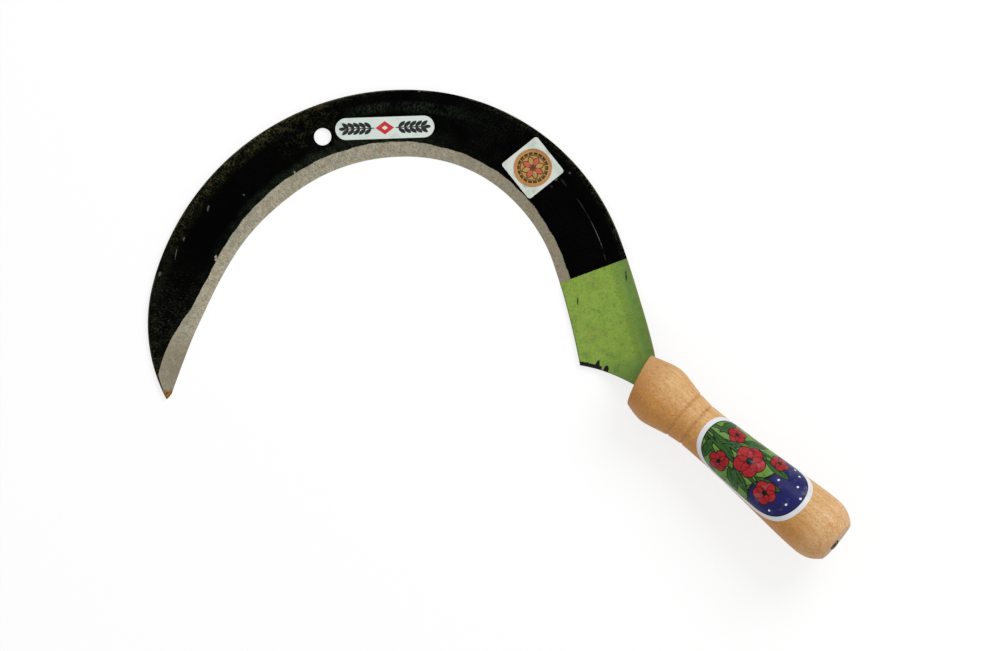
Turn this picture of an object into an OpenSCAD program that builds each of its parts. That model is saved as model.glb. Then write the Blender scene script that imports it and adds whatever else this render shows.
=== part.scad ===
// Grass sickle: a forged crescent blade with a cranked neck and a through tang, in a turned handle.
// It lies on its underside: +Z is up, the handle runs along +X and the back of the blade faces +Y.
// The origin is the middle of the box round the whole tool, on the surface that it lies on.
// Lengths are millimetres and angles are degrees.

/* [Blade outline] */
// How far ahead of the wood the back of the heel begins
heel_ahead = 5.2; // [3:0.1:9]
// How far that point stands off the handle's centre line
heel_offset = 16.9; // [15:0.1:22]
// Angle from the handle's direction to the back at the heel
heel_heading = 143.2; // [136:0.2:150]
// Radius of the back along the heel
heel_radius = 570; // [300:10:900]
// Turn of the back along the heel
heel_turn = 6.2; // [4:0.1:9]
// Radius of the back round the shoulder
shoulder_radius = 124.6; // [110:0.2:145]
// Turn of the back round the shoulder
shoulder_turn = 66.2; // [58:0.2:72]
// Radius of the back round the crown
crown_radius = 143.3; // [125:0.1:165]
// Turn of the back round the crown
crown_turn = 79.1; // [70:0.1:84]
// Radius of the back down to the point
beak_radius = 88.2; // [75:0.1:105]
// Turn of the back down to the point
beak_turn = 43.3; // [36:0.1:48]
// Width of the blade at the heel
heel_width = 41; // [36:0.5:44]
// Width of the blade at its narrowest, past the shoulder
throat_width = 36.8; // [32:0.1:40]
// Distance along the back from the heel to the narrowest place
throat_at = 215; // [150:5:260]
// Width that the blade widens to again before it runs out in the point
beak_width = 38; // [34:0.5:42]
// Length over which the width runs out to the point
point_run = 34.3; // [24:0.1:40]

/* [Blade section] */
// Thickness of the web at the heel
web_heel = 3; // [2.4:0.1:4]
// Thickness of the web at the point
web_tip = 1.6; // [1.2:0.1:2.4]
// Width of the raised rib along the back
rib_width = 6.6; // [4:0.2:9]
// Height of that rib above the web
rib_height = 1.3; // [0.6:0.1:2]
// Width of the hollow slope from the rib down to the web
rib_slope = 5; // [3:0.5:7]
// Rounding of the back's two corners
back_round = 0.9; // [0.4:0.1:1.1]
// Width of the ground bevel near the heel
bevel_heel = 6.4; // [4:0.2:9]
// Width of the ground bevel where it is widest
bevel_belly = 9.2; // [6:0.2:12]
// Distance along the back from the heel to that place
bevel_belly_at = 265; // [200:5:320]
// Distance along the back from the heel to where the grinding begins
bevel_from = 45; // [35:1:80]
// Length over which the grinding reaches its full width
bevel_run_in = 5; // [3:0.5:10]
// Length of the point that is ground over its whole width
bare_point = 12.5; // [6:0.5:20]
// Length over which the bevel spreads towards that bare point
bevel_spread = 72; // [50:2:90]
// Thickness left at the cutting edge
edge_thickness = 0.35; // [0.2:0.05:0.6]

/* [Hang hole] */
// Diameter of the punched hole
hole_d = 9.5; // [6:0.5:12]
// Distance of the hole along the back from the point
hole_from_point = 201.1; // [140:0.1:208]
// Distance of its centre from the back
hole_inset = 17.5; // [16:0.5:19]

/* [Neck and tang] */
// How far the neck reaches past the handle's centre line on the other side
neck_front = 4.8; // [4.4:0.1:7]
// Thickness of the neck where it enters the wood
neck_thickness = 3; // [2.4:0.1:4]
// Length over which the neck climbs from the blade to the handle
crank_length = 26; // [20:1:32]
// How far the neck's shoulder reaches into the wood
shoulder_depth = 10; // [7:0.5:14]
// How far under the handle's centre line the tang enters
tang_drop = 5; // [2:0.5:7]
// Sideways offset of the tang where it leaves the butt
tang_exit_y = -2; // [-4:0.5:4]
// Width of the tang at its root
tang_root_w = 8.4; // [6:0.2:8.6]
// Width of the tang at the butt
tang_end_w = 4; // [3:0.1:4.2]
// Thickness of the tang at its root
tang_root_t = 4.4; // [3.6:0.1:6]
// Thickness of the tang at the butt
tang_end_t = 3.4; // [2.6:0.1:3.8]
// Diameter of the tang's riveted end
rivet_d = 6.4; // [6.2:0.1:10]
// Height of the tang's riveted end
rivet_height = 1.2; // [0.8:0.1:2.4]
// Clearance round the neck's shoulder and the tang in the wood
tang_clearance = 0.15; // [0.1:0.05:0.3]

/* [Handle] */
// Angle by which the handle rises from its front to the butt
handle_rise = 7; // [0:0.5:10]
// Length of the handle along its centre line
handle_length = 141; // [128:1:165]
// Diameter of the front end
front_d = 27.2; // [26:0.2:32]
// Angle by which the front is cut askew
front_cut = 13; // [0:1:16]
// Diameter of the bulge behind the front
bulge_d = 35.8; // [33:0.2:40]
// Distance of that bulge from the front
bulge_at = 15; // [12:0.2:20]
// Diameter of the waist
waist_d = 27; // [24:0.2:30]
// Distance of the waist from the front
waist_at = 43; // [42:0.5:54]
// Diameter of the swelling before the butt
swell_d = 36.4; // [33:0.2:40]
// Distance of that swelling from the butt
swell_from_butt = 15.4; // [11:0.2:20]
// Diameter of the flat butt
butt_d = 24; // [16:0.5:28]
// Distance of the first ring groove from the front
groove_at = 31.5; // [27:0.1:33]
// Distance between the two ring grooves
groove_pitch = 9; // [6:0.1:9]
// Width of a ring groove
groove_width = 1.3; // [0.8:0.1:2]
// Depth of a ring groove
groove_depth = 0.5; // [0.3:0.1:0.8]

/* [Labels and transfer] */
// Thickness of the label film
film = 0.15; // [0.1:0.01:0.3]
// Thickness of the glue under a label
glue = 0.05; // [0.04:0.01:0.1]
// Length of the long label
long_label_length = 54.5; // [40:0.5:56]
// Width of the long label
long_label_width = 12; // [8:0.5:13]
// Distance of its centre along the back from the hang hole
long_label_from_hole = 39.8; // [36:0.2:66]
// Distance of its centre from the back
long_label_inset = 20.5; // [18:0.5:22]
// Turn of the long label against the back
long_label_turn = -3.2; // [-6:0.2:6]
// Side of the square label
square_label_side = 24.8; // [22:0.2:25]
// Radius of its corners
square_label_corner = 1.6; // [0.5:0.1:4]
// Distance of its centre along the back from the heel
square_label_at = 127.6; // [100:0.2:150]
// Distance of its centre from the back
square_label_inset = 17.7; // [16:0.1:18.2]
// Turn of the square label against the back
square_label_turn = -9; // [-12:0.5:12]
// Diameter of the round seal on it
seal_d = 21; // [16:0.5:21.5]
// Distance of the transfer's front end from the handle's front
transfer_from_front = 45.6; // [42:0.2:50]
// Distance of the transfer's rear end from the butt
transfer_from_butt = 24; // [18:0.2:32]
// Width of the transfer, measured round the handle
transfer_width = 46.6; // [40:0.2:60]
// Turn of the transfer's middle towards the back of the blade
transfer_turn = 11; // [0:1:30]

/* [Hidden] */
$fn = 96;

// Steps that curved surfaces are drawn with
blade_steps = 84;
blade_bunching = 1.25;
neck_steps = 8;
web_steps = 6;
slope_steps = 4;
profile_steps = 14;
label_rings = 6;
label_points = 48;
transfer_rings = 14;
transfer_points = 56;

// Narrow chamfer that the unground edges of the heel and the neck keep
blunt_bevel = 0.6;
blunt_share = 0.6;
// How far past the back's end the sharp point would lie, and how far short of that end the blade stops
point_past = 2.2;
point_cut = 0.2;
// Length of the rounded nose, and the share of its width that is left at its end
nose_run = 1.6;
nose_share = 0.4;
// Least strip at the back that isn't bevel, and the share of a narrower blade that it takes
least_strip = 1.4;
strip_share = 0.35;
// Flat web that stays between the rib's slope and the bevel
least_web = 4;
// Distance along the back over which the bevel narrows from its widest place to its heel width
bevel_span = 165;
// Share of its height that the rib has lost by the point
rib_loss = 0.6;
// Largest share of the height, and of the rib's flat top, that the rounding of the back may take
round_share = 0.4;
crest_share = 0.8;
// Least length by which the straight back runs on past the heel
least_run_on = 1;
// How high the curve of the neck's front is drawn towards the heel, as a share of the drop
neck_sag = 0.22;
// Diameter of the riveted end at its top, as a share of its foot
rivet_taper = 0.8;
// Powers that shape each run of the handle's outline, at its start and at its end
front_run = [1.3, 1.8];
neck_run = [1.5, 2.3];
palm_run = [1.8, 1.6];
butt_run = [2.6, 1];
// Tools for cutting reach this far past what they cut
over = 1;

handle_r = max(bulge_d, swell_d) / 2;
axis_z = handle_r;
cut_slope = tan(front_cut);
tang_slope = tang_drop / handle_length;
tang_slope_y = tang_exit_y / handle_length;
tang_z = axis_z - tang_drop;
neck_z = tang_z - neck_thickness / 2;

// Shares between 0 and 1: held in, smooth at both ends, straight between two values, and swung
function clamp01(t) = max(0, min(1, t));
function smooth(t) = let (u = clamp01(t)) u * u * (3 - 2 * u);
function mix(a, b, t) = a + (b - a) * t;
function swing(t, run) = 1 - pow(1 - pow(clamp01(t), run[0]), run[1]);

// The back edge is a chain of arcs that run into each other without a corner.
// Each row is the radius and the turn of one arc.
arcs = [
    [heel_radius, heel_turn],
    [shoulder_radius, shoulder_turn],
    [crown_radius, crown_turn],
    [beak_radius, beak_turn],
];
heel_point = [-heel_ahead, heel_offset];

function arc_length(a) = a[0] * a[1] * PI / 180;
function arc_centre(p, heading, radius) = p + radius * [-sin(heading), cos(heading)];
function on_arc(centre, heading, radius) = centre + radius * [sin(heading), -cos(heading)];

// Rows of distance along the back, centre, radius, heading at the start and turn, one for each arc
function chain(i, along, p, heading) =
    i == len(arcs) ? [] :
    let (
        radius = arcs[i][0],
        turn = arcs[i][1],
        centre = arc_centre(p, heading, radius),
        next = on_arc(centre, heading + turn, radius)
    )
    concat(
        [[along, centre, radius, heading, turn]],
        chain(i + 1, along + arc_length(arcs[i]), next, heading + turn)
    );
back_chain = chain(0, 0, heel_point, heel_heading);
back_length = arc_length(arcs[0]) + arc_length(arcs[1]) + arc_length(arcs[2]) + arc_length(arcs[3]);
// Places of the hole and of the long label, counted from the heel as the sections are
hole_at = back_length - hole_from_point;
long_label_at = hole_at - long_label_from_hole;

// The last arc that begins at or before a distance along the back
function arc_of(s) = back_chain[max([for (i = [0:len(arcs) - 1]) s >= back_chain[i][0] ? i : 0])];
function back_heading(s) = let (a = arc_of(s)) a[3] + (s - a[0]) / a[2] * 180 / PI;
function back_point(s) = let (a = arc_of(s)) on_arc(a[1], back_heading(s), a[2]);
function inward(s) = let (h = back_heading(s)) [-sin(h), cos(h)];

// Width of the blade across the back: it narrows to the throat, widens a little, runs out and is rounded
function full_width(s) =
    s < throat_at
    ? mix(heel_width, throat_width, 1 - pow(1 - s / throat_at, 2))
    : mix(throat_width, beak_width, (s - throat_at) / (back_length - throat_at));
function nose(s) = mix(nose_share, 1, sin(90 * clamp01((back_length - point_cut - s) / nose_run)));
function blade_width(s) =
    full_width(s) * (1 - exp(-(back_length + point_past - s) / point_run)) * nose(s);

// Width of the ground bevel: a long low belly, and the whole width at the bare point
function bevel_plain(s) =
    mix(bevel_heel, bevel_belly, pow(cos(90 * min(1, abs(s - bevel_belly_at) / bevel_span)), 2));
function dark_plain(s) = blade_width(s) - bevel_plain(s);
widest_dark = dark_plain(back_length - bare_point - bevel_spread);
function dark_width(s) =
    let (left = (back_length - bare_point - s) / bevel_spread)
    left > 1 ? dark_plain(s) : min(dark_plain(s), widest_dark * sin(90 * clamp01(left)));
function bevel_full(s) =
    blade_width(s) - max(dark_width(s), min(least_strip, strip_share * blade_width(s)));
function bevel_share(s) = smooth((s - bevel_from) / bevel_run_in);
function bevel_width(s) = mix(blunt_bevel, bevel_full(s), bevel_share(s));

// Thickness of the web, and height of the rib, which both run out towards the point
function web(s) = mix(web_heel, web_tip, clamp01(s / back_length));
function rib(s) = rib_height * (1 - rib_loss * clamp01(s / back_length));
function edge(s) = mix(blunt_share * web(s), edge_thickness, bevel_share(s));
// The rib and its slope narrow together where the blade gets too narrow for them
function rib_scale(width, bevel) = min(1, (width - bevel) / (rib_width + rib_slope + least_web));
// Radius of the rounded back, which stays on the rib's flat top
function rounding(width, bevel, high) =
    min(back_round, round_share * high, crest_share * rib_width * rib_scale(width, bevel));

// Upper side of a section as pairs of distance from the back and height above the underside
function section_top(width, bevel, thick, rise, edge_t) =
    let (
        k = rib_scale(width, bevel),
        high = thick + rise,
        r = rounding(width, bevel, high),
        crest = rib_width * k,
        foot = (rib_width + rib_slope) * k
    )
    concat(
        [for (a = [90, 45, 0]) [r * (1 - sin(a)), high - r * (1 - cos(a))]],
        [[crest, high]],
        [for (i = [1:slope_steps])
            [mix(crest, foot, i / slope_steps), thick + rise * (1 + cos(180 * i / slope_steps)) / 2]],
        [for (i = [1:web_steps]) [mix(foot, width - bevel, i / web_steps), thick]],
        [[width, edge_t]]
    );
// Underside of a section, from the cutting edge to the back
function section_bottom(width, bevel, thick, rise) =
    let (r = rounding(width, bevel, thick + rise))
    concat(
        [for (i = [0:web_steps]) [mix(width, r, i / web_steps), 0]],
        [[r * (1 - sin(45)), r * (1 - cos(45))], [0, r]]
    );
function section(width, bevel, thick, rise, edge_t) =
    concat(section_top(width, bevel, thick, rise, edge_t), section_bottom(width, bevel, thick, rise));

// Height of the upper side above the underside at a distance along and from the back
function top_height(s, v) =
    lookup(v, section_top(blade_width(s), bevel_width(s), web(s), rib(s), edge(s)));

// How far a point lies behind the plane of the handle's askew front, along the handle
function behind_front(p) = p.x + p.y * cut_slope;
// A point made on a level handle, tipped so that the handle rises to the butt
function tipped_point(p) =
    let (z = p.z - axis_z)
    [
        p.x * cos(handle_rise) - z * sin(handle_rise),
        p.y,
        axis_z + p.x * sin(handle_rise) + z * cos(handle_rise)
    ];
// A point of the forging: flat on the blade, then up the neck to the tang's place in the handle
function carried(p) =
    mix(p, tipped_point([p.x, p.y, p.z + neck_z + tang_slope * p.x]),
        smooth(1 + behind_front(p) / crank_length));

// The neck in plan: its back and front corners at the heel, at the wood and at the shoulder's end
heel_front = heel_point + blade_width(0) * inward(0);
back_way = -[cos(heel_heading), sin(heel_heading)];
run_on = max(least_run_on, -behind_front(heel_point) / behind_front(back_way));
wood_back = heel_point + run_on * back_way;
wood_front = [neck_front * cut_slope, -neck_front];
tang_back = [shoulder_depth, tang_slope_y * shoulder_depth + tang_root_w / 2];
tang_front = [shoulder_depth, tang_slope_y * shoulder_depth - tang_root_w / 2];
// The front of the neck is a curve between its two corners that bends towards this point
neck_pull = [heel_front.x / 2, mix(wood_front.y, heel_front.y, neck_sag)];
function bend(a, b, c, t) = mix(mix(a, b, t), mix(b, c, t), t);

// A station is the back point, the unit vector to the edge and the loop of the section there
function station(o, e, bevel, thick, rise, edge_t) =
    let (w = norm(e - o)) [o, (e - o) / w, section(w, bevel, thick, rise, edge_t)];
// Inside the wood the neck keeps its thickness, and round the bend it grows its rib
shoulder_stations = [
    for (t = [1, 0.5])
        station(mix(wood_back, tang_back, t), mix(wood_front, tang_front, t),
            blunt_bevel, neck_thickness, 0, blunt_share * neck_thickness)
];
neck_stations = [
    for (i = [0:neck_steps - 1])
        let (t = 1 - i / neck_steps)
        station(mix(heel_point, wood_back, t), bend(heel_front, neck_pull, wood_front, t),
            blunt_bevel, mix(web_heel, neck_thickness, t), rib_height * (1 - t),
            blunt_share * mix(web_heel, neck_thickness, t))
];
blade_stations = [
    for (i = [0:blade_steps])
        let (s = (back_length - point_cut) * (1 - pow(1 - i / blade_steps, blade_bunching)))
        station(back_point(s), back_point(s) + blade_width(s) * inward(s),
            bevel_width(s), web(s), rib(s), edge(s))
];
stations = concat(shoulder_stations, neck_stations, blade_stations);

// How far a round of a radius on the handle's centre line reaches along X once it is tipped
function tipped_reach(x, r) = x * cos(handle_rise) + r * sin(handle_rise);
butt_reach = tipped_reach(handle_length, butt_d / 2);
rivet_reach = tipped_reach(handle_length + rivet_height, rivet_d * rivet_taper / 2);

// Box round the tool in plan, which sets the origin
back_xs = [for (s = blade_stations) s[0].x];
back_ys = [for (s = blade_stations) s[0].y];
box_x = [min(back_xs), max(butt_reach, rivet_reach)];
box_y = [min(min(back_ys), -handle_r), max(max(back_ys), handle_r)];
origin = [(box_x[0] + box_x[1]) / 2, (box_y[0] + box_y[1]) / 2, 0];

// Radius of the handle: rising to the bulge, down to the waist, up to the swelling, down to the butt
swell_at = handle_length - swell_from_butt;
turning_start = -front_d / 2 * cut_slope;
function grip_radius(x) =
    x < bulge_at
    ? mix(front_d, bulge_d, swing((x - turning_start) / (bulge_at - turning_start), front_run)) / 2
    : x < waist_at
    ? mix(bulge_d, waist_d, swing((x - bulge_at) / (waist_at - bulge_at), neck_run)) / 2
    : x < swell_at
    ? mix(waist_d, swell_d, swing((x - waist_at) / (swell_at - waist_at), palm_run)) / 2
    : mix(swell_d, butt_d, swing((x - swell_at) / swell_from_butt, butt_run)) / 2;
function steps_between(a, b) = [for (i = [0:profile_steps - 1]) mix(a, b, i / profile_steps)];
grip_xs = concat(
    steps_between(turning_start, bulge_at),
    steps_between(bulge_at, waist_at),
    steps_between(waist_at, swell_at),
    steps_between(swell_at, handle_length),
    [handle_length]
);

// Tips what is made on a level handle, so that it rises to the butt
module tipped() {
    translate([0, 0, axis_z])
    rotate([0, -handle_rise, 0])
    translate([0, 0, -axis_z])
    children();
}

// Skin between loops of points: each row of the grid is one closed loop, capped at both ends
module skin(loops) {
    n = len(loops[0]);
    m = len(loops);
    side = [
        for (j = [0:m - 2], i = [0:n - 1])
            let (a = j * n + i, b = j * n + (i + 1) % n)
            each [[a, b, b + n], [a, b + n, a + n]]
    ];
    caps = [
        [for (i = [n - 1:-1:0]) i],
        [for (i = [0:n - 1]) (m - 1) * n + i],
    ];
    polyhedron(points = [for (l = loops) each l], faces = concat(side, caps));
}

// Bar whose two ends are upright rectangles: each end is its X, its two Y and its two Z
module bar(a, b) {
    loops = [
        for (e = [a, b])
            [[e[0], e[1], e[3]], [e[0], e[1], e[4]], [e[0], e[2], e[4]], [e[0], e[2], e[3]]]
    ];
    skin(loops);
}

// Part of the tang between two distances from the front, grown all round by a clearance
function tang_end(x, grow) =
    let (
        t = x / handle_length,
        w = mix(tang_root_w, tang_end_w, t) / 2 + grow,
        h = mix(tang_root_t, tang_end_t, t) / 2 + grow,
        y = tang_slope_y * x,
        z = tang_z + tang_slope * x
    )
    [x, y - w, y + w, z - h, z + h];
module tang(x0, x1, grow = 0) {
    bar(tang_end(x0, grow), tang_end(x1, grow));
}

// Slot for the neck's shoulder, grown all round by the clearance
module shoulder_slot() {
    g = tang_clearance;
    ahead = turning_start - over;
    reach = (ahead - wood_back.x) / (tang_back.x - wood_back.x);
    ends = [
        [ahead, wood_front.y - g, mix(wood_back.y, tang_back.y, reach) + g],
        [shoulder_depth + g, tang_front.y - g, tang_back.y + g],
    ];
    rows = [
        for (e = ends)
            let (z = neck_z + tang_slope * e[0])
            [e[0], e[1], e[2], z - g, z + neck_thickness + g]
    ];
    bar(rows[0], rows[1]);
}

module forging() {
    loops = [
        for (st = stations)
            [for (q = st[2]) let (p = st[0] + st[1] * q[0]) carried([p.x, p.y, q[1]])]
    ];
    skin(loops);
}

// The blade with its neck, its tang and the tang's riveted end are one forging
module blade() {
    hole = back_point(hole_at) + hole_inset * inward(hole_at);
    color([0.09, 0.09, 0.1])
    translate(-origin)
    difference() {
        union() {
            forging();
            tipped() {
                tang(shoulder_depth - tang_root_w / 2, handle_length + rivet_height / 2);
                translate([handle_length, tang_exit_y, axis_z])
                rotate([0, 90, 0])
                cylinder(h = rivet_height, d1 = rivet_d, d2 = rivet_d * rivet_taper);
            }
        }
        translate([hole.x, hole.y, -over])
        cylinder(h = web_heel + rib_height + 2 * over, d = hole_d);
    }
}

module groove(x) {
    r = grip_radius(x);
    translate([x, 0, 0])
    rotate([0, 90, 0])
    rotate_extrude()
    polygon([[r - groove_depth, 0], [r + over, -groove_width], [r + over, groove_width]]);
}

module handle() {
    color([0.85, 0.68, 0.42])
    translate(-origin)
    tipped()
    difference() {
        translate([0, 0, axis_z])
        difference() {
            rotate([0, 90, 0])
            rotate_extrude()
            polygon(concat(
                [[0, turning_start]],
                [for (x = grip_xs) [grip_radius(x), x]],
                [[0, handle_length]]
            ));
            rotate([0, 0, front_cut])
            translate([-front_d, 0, 0])
            cube(2 * front_d, center = true);
            groove(groove_at);
            groove(groove_at + groove_pitch);
        }
        shoulder_slot();
        tang(shoulder_depth - tang_root_w / 2 - tang_clearance, handle_length + over, tang_clearance);
    }
}

// Outline of a rectangle with round corners as a loop of points round its middle
function round_outline(length, width, corner, count) =
    let (r = min(corner, length / 2, width / 2), q = count / 4)
    [
        for (c = [0:3], i = [0:q - 1])
            let (
                a = 90 * (c + (i + 0.5) / q),
                cx = (c == 0 || c == 3 ? 1 : -1) * (length / 2 - r),
                cy = (c < 2 ? 1 : -1) * (width / 2 - r)
            )
            [cx + r * cos(a), cy + r * sin(a)]
    ];

// Thin sheet bent over another surface: rings of the outline shrink to its middle, on both faces.
// The points of the lower and the upper face come in the same order.
module sheet(lower, upper, rings, count) {
    face = 1 + rings * count;
    function ring(k, i) = 1 + (k - 1) * count + i % count;
    fan = [for (i = [0:count - 1]) [0, ring(1, i), ring(1, i + 1)]];
    bands = [
        for (k = [1:rings - 1], i = [0:count - 1])
            let (a = ring(k, i), b = ring(k, i + 1), c = ring(k + 1, i + 1), d = ring(k + 1, i))
            each [[a, d, c], [a, c, b]]
    ];
    flat = concat(fan, bands);
    rim = [
        for (i = [0:count - 1])
            let (a = ring(rings, i), b = ring(rings, i + 1))
            each [[a, b + face, b], [a, a + face, b + face]]
    ];
    polyhedron(
        points = concat(lower, upper),
        faces = concat(flat, [for (f = flat) [f[0] + face, f[2] + face, f[1] + face]], rim)
    );
}
function ringed(outline, rings) =
    concat([[0, 0]], [for (k = [1:rings]) each [for (p = outline) p * k / rings]]);

// Distance along and from the back of a point in plan, from the arc whose turn takes it in
function back_place(p) =
    let (
        rows = [
            for (a = back_chain)
                let (
                    d = p - a[1],
                    turned = (atan2(d.y, d.x) - (a[3] - 90) + 720) % 360
                )
                if (turned <= a[4]) [a[0] + a[2] * turned * PI / 180, a[2] - norm(d)]
        ]
    )
    len(rows) > 0 ? rows[0] : [0, 0];

// Label on the blade: its outline is laid flat in plan, and its heights follow the blade under it
module blade_label(length, width, corner, at, inset, turn, low) {
    middle = back_point(at) + inset * inward(at);
    a = back_heading(at) + 180 + turn;
    plan = [
        for (q = ringed(round_outline(length, width, corner, label_points), label_rings))
            middle + [q.x * cos(a) - q.y * sin(a), q.x * sin(a) + q.y * cos(a)]
    ];
    ground = [for (p = plan) let (b = back_place(p)) top_height(b[0], b[1]) + low];
    translate(-origin)
    sheet(
        [for (i = [0:len(plan) - 1]) [plan[i].x, plan[i].y, ground[i]]],
        [for (i = [0:len(plan) - 1]) [plan[i].x, plan[i].y, ground[i] + film]],
        label_rings, label_points
    );
}

module long_label() {
    color([0.86, 0.9, 0.88])
    blade_label(long_label_length, long_label_width, long_label_width / 2,
        long_label_at, long_label_inset, long_label_turn, glue);
}

module square_label() {
    color([0.88, 0.91, 0.89])
    blade_label(square_label_side, square_label_side, square_label_corner,
        square_label_at, square_label_inset, square_label_turn, glue);
}

module seal() {
    color([0.72, 0.56, 0.28])
    blade_label(seal_d, seal_d, seal_d / 2,
        square_label_at, square_label_inset, square_label_turn, 2 * glue + film);
}

// Transfer round the handle: its outline is wrapped on the turned surface at true arc lengths
module transfer() {
    length = handle_length - transfer_from_front - transfer_from_butt;
    middle = transfer_from_front + length / 2;
    outline = round_outline(length, transfer_width, transfer_width, transfer_points);
    plan = ringed(outline, transfer_rings);
    function wrapped(q, high) =
        let (
            x = middle + q.x,
            r = grip_radius(x),
            a = transfer_turn + q.y / r * 180 / PI
        )
        [x, (r + high) * sin(a), axis_z + (r + high) * cos(a)];
    color([0.25, 0.4, 0.3])
    translate(-origin)
    tipped()
    sheet([for (q = plan) wrapped(q, glue)], [for (q = plan) wrapped(q, glue + film)],
        transfer_rings, transfer_points);
}

blade();
handle();
long_label();
square_label();
seal();
transfer();
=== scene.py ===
"""Grass sickle, dressed for the camera: a forged and painted crescent blade in a turned beech handle.

Every shape is a function of two parameters that is worked out on whole numpy arrays. Shape code is in
millimetres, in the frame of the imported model: X runs along the handle to the butt, Y towards the back
of the blade at the heel and Z up, out of the side with the labels. Meshes are stored in metres.
"""

import logging
import math
from dataclasses import dataclass, field
from enum import Enum
from functools import cached_property, reduce
from typing import Any, Sequence

import bmesh
import bpy
import numpy as np
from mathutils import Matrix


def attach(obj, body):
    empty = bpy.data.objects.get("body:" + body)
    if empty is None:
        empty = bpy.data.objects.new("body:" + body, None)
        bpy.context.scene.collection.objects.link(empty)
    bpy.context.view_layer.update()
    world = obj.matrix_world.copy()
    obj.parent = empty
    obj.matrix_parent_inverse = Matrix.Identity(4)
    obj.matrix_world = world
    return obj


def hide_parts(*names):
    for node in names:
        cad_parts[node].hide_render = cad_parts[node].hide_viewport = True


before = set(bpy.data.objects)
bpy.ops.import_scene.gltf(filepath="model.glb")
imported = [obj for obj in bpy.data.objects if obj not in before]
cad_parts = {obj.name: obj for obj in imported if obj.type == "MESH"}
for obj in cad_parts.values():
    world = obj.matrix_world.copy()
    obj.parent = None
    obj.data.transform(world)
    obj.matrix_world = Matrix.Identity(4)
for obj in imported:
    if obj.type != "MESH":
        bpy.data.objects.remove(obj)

LOG = logging.getLogger("sickle")
MM = 0.001
CREASE = 38.0
Array = np.ndarray
Fields = dict[str, Array]
Pair = tuple[float, float]
Triple = tuple[float, float, float]


class Slot(Enum):
    """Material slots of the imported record."""

    STEEL = "painted_steel"
    BEECH = "beech"
    FILM = "white_film"
    FOIL = "gold_foil"
    TRANSFER = "printed_transfer"


# Small formulas that many shapes share


def held(t: Array) -> Array:
    """Return the share t held between 0 and 1."""
    return np.clip(t, 0.0, 1.0)


def smooth(t: Array) -> Array:
    """Return the share t held between 0 and 1 and eased at both ends: 3t squared less 2t cubed."""
    u = held(t)
    return u * u * (3.0 - 2.0 * u)


def mix(a: Array, b: Array, t: Array) -> Array:
    """Return the value a share t of the way from a to b."""
    return a + (b - a) * t


def turned(x: Array, y: Array, angle: float) -> tuple[Array, Array]:
    """Return coordinates turned by an angle: x cos a less y sin a, and x sin a plus y cos a."""
    return x * math.cos(angle) - y * math.sin(angle), x * math.sin(angle) + y * math.cos(angle)


def swing(t: Array, run: Pair) -> Array:
    """Return 1 less (1 less t to the first power) to the second power, a share with shaped ends."""
    return 1.0 - (1.0 - held(t) ** run[0]) ** run[1]


def bells(s: Array, humps: Sequence[Triple]) -> Array:
    """Return a sum of bell curves: height times e to the minus square of (distance over spread)."""
    middle, spread, height = (np.array(column)[:, None] for column in zip(*humps))
    return (height * np.exp(-(((s - middle) / spread) ** 2))).sum(axis=0)


def linear(hex_colour: str) -> tuple[float, float, float, float]:
    """Turn an sRGB hex colour into linear red, green and blue and an alpha of 1.

    Up to 0.04045 a value is divided by 12.92. Past that 0.055 is added to it, and the sum over 1.055
    is raised to the power 2.4.
    """
    digits = hex_colour.lstrip("#")
    values = [int(digits[i : i + 2], 16) / 255.0 for i in (0, 2, 4)]
    red, green, blue = (v / 12.92 if v <= 0.04045 else ((v + 0.055) / 1.055) ** 2.4 for v in values)
    return (red, green, blue, 1.0)


# Signed distances in millimetres, negative inside: the printed designs are drawn with them


def disc(p: Array, centre: Sequence[float], radius: float) -> Array:
    """Return the distance of points to a disc: distance to its centre less its radius."""
    return np.hypot(p[:, 0] - centre[0], p[:, 1] - centre[1]) - radius


def stroke(p: Array, start: Sequence[float], end: Sequence[float], half: float) -> Array:
    """Return the distance of points to a straight stroke with round ends.

    Args:
        p: points, one row each.
        start: first end of the stroke.
        end: its other end.
        half: half its width.

    Returns:
        Distance to the nearest point of the segment, less the half width.
    """
    a = np.asarray(start, float)
    d = np.asarray(end, float) - a
    t = held((p - a) @ d / (d @ d))
    return np.linalg.norm(p - a - t[:, None] * d, axis=1) - half


def leaf(p: Array, start: Sequence[float], end: Sequence[float], width: float) -> Array:
    """Return the distance of points to a leaf, the overlap of two equal discs.

    Args:
        p: points, one row each.
        start: the leaf's stalk end.
        end: its tip.
        width: its greatest width.

    Returns:
        The larger of the distances to the two discs that meet at both ends.
    """
    a = np.asarray(start, float)
    d = np.asarray(end, float) - a
    length = float(np.hypot(*d))
    radius = (length**2 / 4 + width**2 / 4) / width
    aside = np.array([-d[1], d[0]]) / length * (radius - width / 2)
    middle = a + d / 2
    return np.maximum(disc(p, middle + aside, radius), disc(p, middle - aside, radius))


def from_outline(points: Array, outline: Array) -> tuple[Array, Array]:
    """Return how far plan points lie from an open outline, and the length along it to the nearest spot.

    On each straight piece the nearest spot is the point's shadow on it, kept between its ends.

    Args:
        points: points in plan, a row each.
        outline: the outline's corners in order.

    Returns:
        Distances and lengths.
    """
    steps = np.diff(outline, axis=0)
    lengths = np.linalg.norm(steps, axis=1)
    starts = np.concatenate([[0.0], np.cumsum(lengths)[:-1]])
    ahead = points[:, None] - outline[:-1]
    share = held((ahead * steps).sum(axis=2) / lengths**2)
    gaps = np.linalg.norm(ahead - share[..., None] * steps, axis=2)
    nearest = gaps.argmin(axis=1)
    rows = np.arange(len(points))
    return gaps[rows, nearest], starts[nearest] + share[rows, nearest] * lengths[nearest]


def union(parts: Sequence[Array]) -> Array:
    """Return the distance to whatever is nearest: the smallest of several distances."""
    return np.minimum.reduce(list(parts))


# Meshes


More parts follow.
